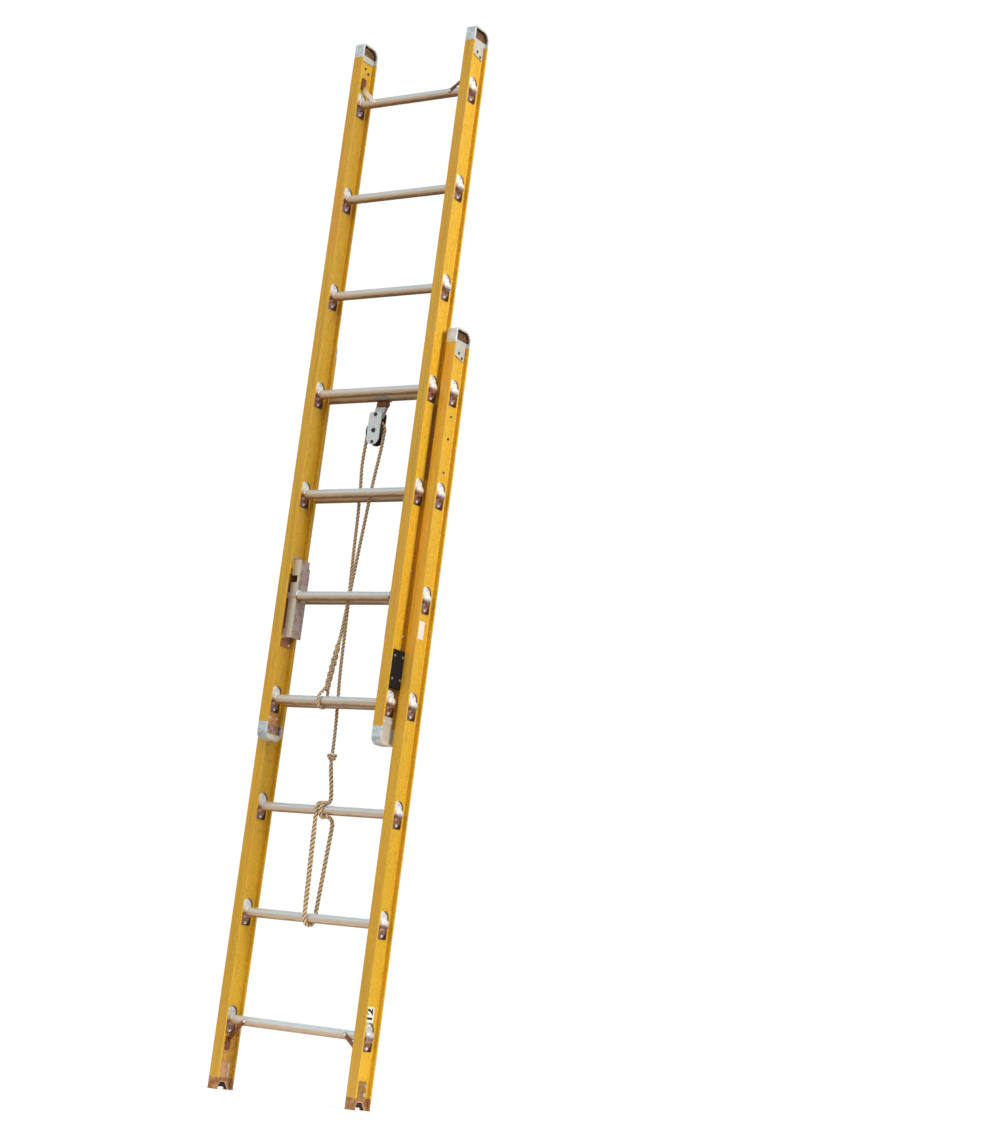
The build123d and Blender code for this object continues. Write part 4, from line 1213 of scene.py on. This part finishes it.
@dataclass
class TailRope:
    """The thicker rope below the knot, hitched on a base rung and looped under the next, and the knot."""

    finish: Material
    radius: float = 0.0076
    lay: float = TAIL_LAY
    step: float = 0.0023
    run: tuple[Point, ...] = (
        (-28.0, 54.0, 1107.6), (-27.0, 54.2, 1085.0), (-11.0, 54.6, 1010.0), (-7.0, 54.6, 962.8),
        (-8.0, 7.4, 962.8), (-10.0, 7.4, 915.6), (-18.0, 54.6, 915.6), (-24.0, 54.6, 962.8),
        (-26.0, 7.4, 962.8), (-25.2, 7.4, 900.0), (-15.5, 7.4, 625.0), (-14.0, 7.4, 560.0),
        (-8.0, 54.6, 560.0), (-5.0, 54.6, 622.0), (10.0, 54.6, 855.0), (14.0, 54.6, 915.6),
        (17.0, 10.0, 915.8))
    neck: float = 0.03
    neck_share: float = 0.8
    fuller: float = 0.0012
    fuller_in: Span = (0.60, 0.89)
    fuller_before: float = 0.012
    easing: float = 0.04
    knot_place: Point = (-28.0, 54.0, 1120.0)
    knot_size: Point = (6.0, 5.2, 2.9)
    knot_points: int = 40
    knot_radius: float = 0.0058
    knot_lay: float = 0.04

    def girth(self, route: Route, s: float) -> float:
        """Radius of the rope, slimmer at the knot and fuller in the leg before the rungs.

        Args:
            route: The rope's line.
            s: Distance along it, in metres.

        Returns:
            The radius, in metres.
        """
        _, y, z = route.points[min(int(s / self.step), len(route.points) - 1)]
        low, high = self.fuller_in
        inside = min(1.0, max(0.0, min(z - low, high - z) / self.easing))
        swell = self.fuller * inside if y < self.fuller_before else 0.0
        share = self.neck_share + (1.0 - self.neck_share) * min(1.0, s / self.neck)
        return self.radius * share + swell

    def build(self) -> Piece:
        """Make the tail rope and the knot.

        Returns:
            The knot.
        """
        route = Route(self.run, self.step)
        tail = RopeTube(self.finish, self.lay).make("rope_tail", route, lambda s: self.girth(route, s))
        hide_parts("tail_rope")
        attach(tail, "base")
        return self.knot()

    def knot(self) -> Piece:
        """Make the joining knot as one tightened turn of rope.

        Returns:
            The knot.
        """
        wide, deep, high = self.knot_size
        spots = []
        for n in range(self.knot_points + 1):
            t = 2 * math.pi * n / self.knot_points
            spots.append((self.knot_place[0] + wide * (math.sin(t) + 2 * math.sin(2 * t)),
                          self.knot_place[1] - deep * math.sin(3 * t),
                          self.knot_place[2] + high * (math.cos(t) - 2 * math.cos(2 * t))))
        knot = RopeTube(self.finish, self.knot_lay).make("rope_joining_knot", Route(spots, self.step),
                                                         lambda s: self.knot_radius)
        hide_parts("joining_knot")
        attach(knot, "base")
        return knot


@dataclass
class RailLabels:
    """Plain stickers on the outer face of the right base rail."""

    paper: Material
    ink: Material
    face_x: float = 0.28625
    lift: float = 0.0002
    gap: float = 0.00005
    corner: float = 0.003
    corner_segments: int = 4
    number_middle: Span = (BASE_Y - 0.003, 0.2985)
    number_size: Span = (0.042, 0.050)
    blank_middle: Span = (BASE_Y - 0.002, 1.549)
    blank_size: Span = (0.034, 0.060)
    digits_middle: Span = (BASE_Y - 0.003, 0.2975)
    digits_lift: float = 0.0002
    digit_settings: Settings = field(default_factory=lambda: {
        "body": "12", "size": 0.044, "offset": 0.0014, "align_x": "CENTER", "align_y": "CENTER",
        "extrude": 0.00008})

    def plate(self, name: str, middle: Span, size: Span) -> None:
        """Make a thin label with rounded corners.

        Args:
            name: The piece's name.
            middle: Its middle across the rail and up it, in metres.
            size: Its size across the rail and up it, in metres.
        """
        bpy.ops.object.select_all(action="DESELECT")
        bpy.ops.mesh.primitive_cube_add(size=1, location=(self.face_x + self.lift / 2 + self.gap, *middle))
        label = bpy.context.object
        label.name = name
        label.scale = (self.lift, *size)
        bpy.ops.object.transform_apply(location=True, rotation=True, scale=True)
        rounded = label.modifiers.new("corners", "BEVEL")
        rounded.width = self.corner
        rounded.segments = self.corner_segments
        rounded.limit_method = "WEIGHT"
        weights = label.data.attributes.new("bevel_weight_edge", "FLOAT", "EDGE")
        for edge in label.data.edges:
            a, b = (label.data.vertices[v].co for v in edge.vertices)
            weights.data[edge.index].value = 1.0 if abs(a.x - b.x) > self.lift / 2 else 0.0
        bpy.ops.object.modifier_apply(modifier="corners")
        label.data.materials.append(self.paper)
        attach(label, "base")
        log.info("%s is on the rail", name)

    def build(self) -> None:
        """Make the length number and the blank label."""
        self.plate("length_sticker", self.number_middle, self.number_size)
        self.plate("blank_label", self.blank_middle, self.blank_size)
        bpy.ops.object.select_all(action="DESELECT")
        bpy.ops.object.text_add()
        for key, value in self.digit_settings.items():
            setattr(bpy.context.object.data, key, value)
        bpy.ops.object.convert(target="MESH")
        digits = bpy.context.object
        digits.name = "length_digits"
        turn = Matrix(((0, 0, 1), (0, -1, 0), (1, 0, 0))).to_4x4()
        spot = Matrix.Translation((self.face_x + self.lift + self.digits_lift, *self.digits_middle))
        digits.data.transform(spot @ turn)
        digits.data.materials.clear()
        digits.data.materials.append(self.ink)
        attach(digits, "base")
        log.info("%s is on the rail", digits.name)


@dataclass
class Dressing:
    """Gives each node a finish. The last rule takes the lock housings and the cords that ropes replace."""

    finishes: dict[str, Material]
    rules: tuple[tuple[str, str], ...] = (
        ("_rail", "rail"), ("base_rung_plates", "base_plates"), ("fly_rung_plates", "fly_plates"),
        ("base_rung_collars", "base_plates"), ("fly_rung_collars", "fly_plates"), ("rivets", "rivets"),
        ("braces", "strut"), ("bottom_cap", "bottom_cap"), ("base_left_top_cap", "base_cap"),
        ("base_right_top_cap", "base_cap"), ("_cap", "fly_cap"), ("butt_spur", "spur"),
        ("slide_blocks", "black"), ("halyard_sheave", "sheave"), ("sheave_bush", "bush"),
        ("fly_guide", "guide"), ("pulley_hanger", "hanger"), ("pulley_cheeks", "galvanised"),
        ("pulley_pins", "dark_pins"), ("bolts", "bolts"), ("pins", "bolts"), ("screws", "bolts"),
        ("pawl", "bolts"), ("base_rung", "base_rung"), ("fly_rung", "fly_rung"), ("", "lock"))

    def build(self) -> None:
        """Assign the finish of the first rule whose words are in the node's name."""
        for node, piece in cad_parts.items():
            finish = next(self.finishes[name] for words, name in self.rules if words in node)
            for slot in piece.material_slots:
                slot.material = finish
            log.info("%s: %s", node, finish.name)


@dataclass
class Studio:
    """Pale floor, soft light and the camera at the photograph's angle."""

    eye: Point = (4.7919, -6.1053, 0.3006)
    right: Point = (0.83079, 0.54283, 0.12294)
    up: Point = (0.00404, -0.22677, 0.97394)
    ahead: Point = (-0.55657, 0.80865, 0.19059)
    lens: float = 84.46
    sensor: float = 36.0
    far_clip: float = 200.0
    floor_radius: float = 3.0
    floor_sides: int = 96
    floor_z: float = -0.0005
    middle: Point = (0.0, 0.0, 1.8)
    above: Colour = (0.62, 0.66, 0.70)
    below: Colour = (0.20, 0.15, 0.10)
    horizon: Span = (-0.25, 0.45)
    backdrop: Colour = (1.02, 1.02, 1.02)
    lamps: dict[str, tuple[Point, float, float, Colour]] = field(default_factory=lambda: {
        "key": ((6.2, -0.6, 4.6), 3.0, 330.0, (1.0, 0.98, 0.95)),
        "front": ((-1.0, -7.0, 3.4), 3.6, 120.0, (0.98, 0.99, 1.0)),
        "back": ((-3.0, 5.0, 4.5), 3.0, 60.0, (1.0, 1.0, 1.0)),
    })

    def build(self) -> None:
        """Make the floor, the lights, the world and the camera."""
        self.floor()
        self.lights()
        self.world()
        self.camera()
        settings = bpy.context.scene.view_settings
        settings.view_transform = "Standard"
        settings.look = "None"

    def floor(self) -> None:
        """Make the floor as a disc."""
        bpy.ops.object.select_all(action="DESELECT")
        bpy.ops.mesh.primitive_circle_add(vertices=self.floor_sides, radius=self.floor_radius,
                                          fill_type="NGON", location=(0, 0, self.floor_z))
        floor = bpy.context.object
        floor.name = "floor"
        bpy.ops.object.transform_apply(location=True, rotation=True, scale=True)
        floor.data.materials.append(PaleFloor().material())

    def lights(self) -> None:
        """Make the soft lamps, which face the ladder."""
        for name, (place, size, power, colour) in self.lamps.items():
            data = bpy.data.lights.new(name, "AREA")
            data.shape = "DISK"
            data.size = size
            data.energy = power
            data.color = colour
            lamp = placed(name, data)
            lamp.location = place
            lamp.rotation_euler = (Vector(self.middle) - Vector(place)).to_track_quat("-Z", "Y").to_euler()

    def world(self) -> None:
        """Make the world white to the eye, and as a light pale above and warm and darker below."""
        world = bpy.data.worlds.new("studio")
        bpy.context.scene.world = world
        world.use_nodes = True
        graph = Graph(world.node_tree, "Background")
        _, _, rise = graph.parts(graph.node("ShaderNodeTexCoord", {}, result="Generated"))
        seen = graph.node("ShaderNodeLightPath", {}, result="Is Camera Ray")
        graph.finish({"Color": graph.paint(self.below, (rise.between(*self.horizon), self.above),
                                           (seen, self.backdrop))})

    def camera(self) -> None:
        """Make the camera."""
        data = bpy.data.cameras.new("camera")
        data.sensor_fit = "HORIZONTAL"
        data.sensor_width = self.sensor
        data.lens = self.lens
        data.clip_end = self.far_clip
        camera = placed("camera", data)
        axes = Matrix((self.right, self.up, -Vector(self.ahead))).transposed().to_4x4()
        camera.matrix_world = Matrix.Translation(self.eye) @ axes
        bpy.context.scene.camera = camera


def all_finishes() -> dict[str, Material]:
    """Make the finishes of the CAD nodes.

    Returns:
        Material by finish name.
    """
    finishes = {
        "rail": Fibreglass(),
        "base_rung": RungMetal("base_rung_tube", BASE_Y),
        "fly_rung": RungMetal("fly_rung_tube", FLY_Y),
        "base_plates": PlateMetal("base_plates", BASE_Y),
        "fly_plates": PlateMetal("fly_plates", FLY_Y),
        "rivets": RivetMetal(),
        "base_cap": CapMetal("base_cap_casting", BASE_WEB, BASE_Y, end=2.5296),
        "fly_cap": CapMetal("fly_cap_casting", FLY_WEB, FLY_Y, end=3.5964),
        "bottom_cap": CapMetal("bottom_cap_casting", FLY_WEB, FLY_Y, end=1.2128, way=End.BOTTOM, rise=0.060,
                               front_corner=0.027, back_corner=0.027, hollow=tint(226, 222, 212),
                               streaked=tint(200, 190, 174), inner_tone_share=0.95),
        "spur": FootMetal(),
        "bolts": Metal("plated_bolts", tint(206, 196, 184), tint(112, 96, 80),
                       roughness=0.34, metallic=0.6, grime=0.7),
        "strut": StrutMetal(),
        "dark_pins": Metal("dark_pins", tint(78, 66, 62), tint(34, 24, 22),
                           roughness=0.4, metallic=0.7, grime=0.8),
        "guide": Plastic("brown_guides", tint(142, 98, 76), tint(168, 122, 96)),
        "black": Plastic("black_bearing_plastic", tint(22, 19, 21), tint(52, 47, 48),
                         roughness=0.6, gloss=0.25),
        # Painted shade: the sheave is dark brown as it sits in shadow between the cheeks.
        "sheave": Plastic("sheave_painted_shade", tint(58, 38, 26), tint(108, 82, 60)),
        "bush": Metal("bronze_bush", tint(206, 160, 92), tint(120, 80, 40),
                      roughness=0.35, metallic=1.0, grime=0.6),
        "hanger": HangerMetal(),
        "galvanised": CheekMetal(),
        "lock": LockMetal(),
    }
    return {name: finish.material() for name, finish in finishes.items()}


def main() -> None:
    """Dress the ladder, lay its ropes and set up the studio."""
    Studio().build()
    Dressing(all_finishes()).build()
    halyard = Halyard(LaidRope("laid_halyard").material())
    hand = halyard.build()
    knot = TailRope(LaidRope("laid_tail", lay=TAIL_LAY).material()).build()
    RailLabels(Sticker("white_sticker", tint(244, 240, 232), tint(206, 196, 180)).material(),
               Sticker("sticker_ink", tint(26, 22, 22), tint(64, 54, 48)).material()).build()


if __name__ == "__main__":
    main()
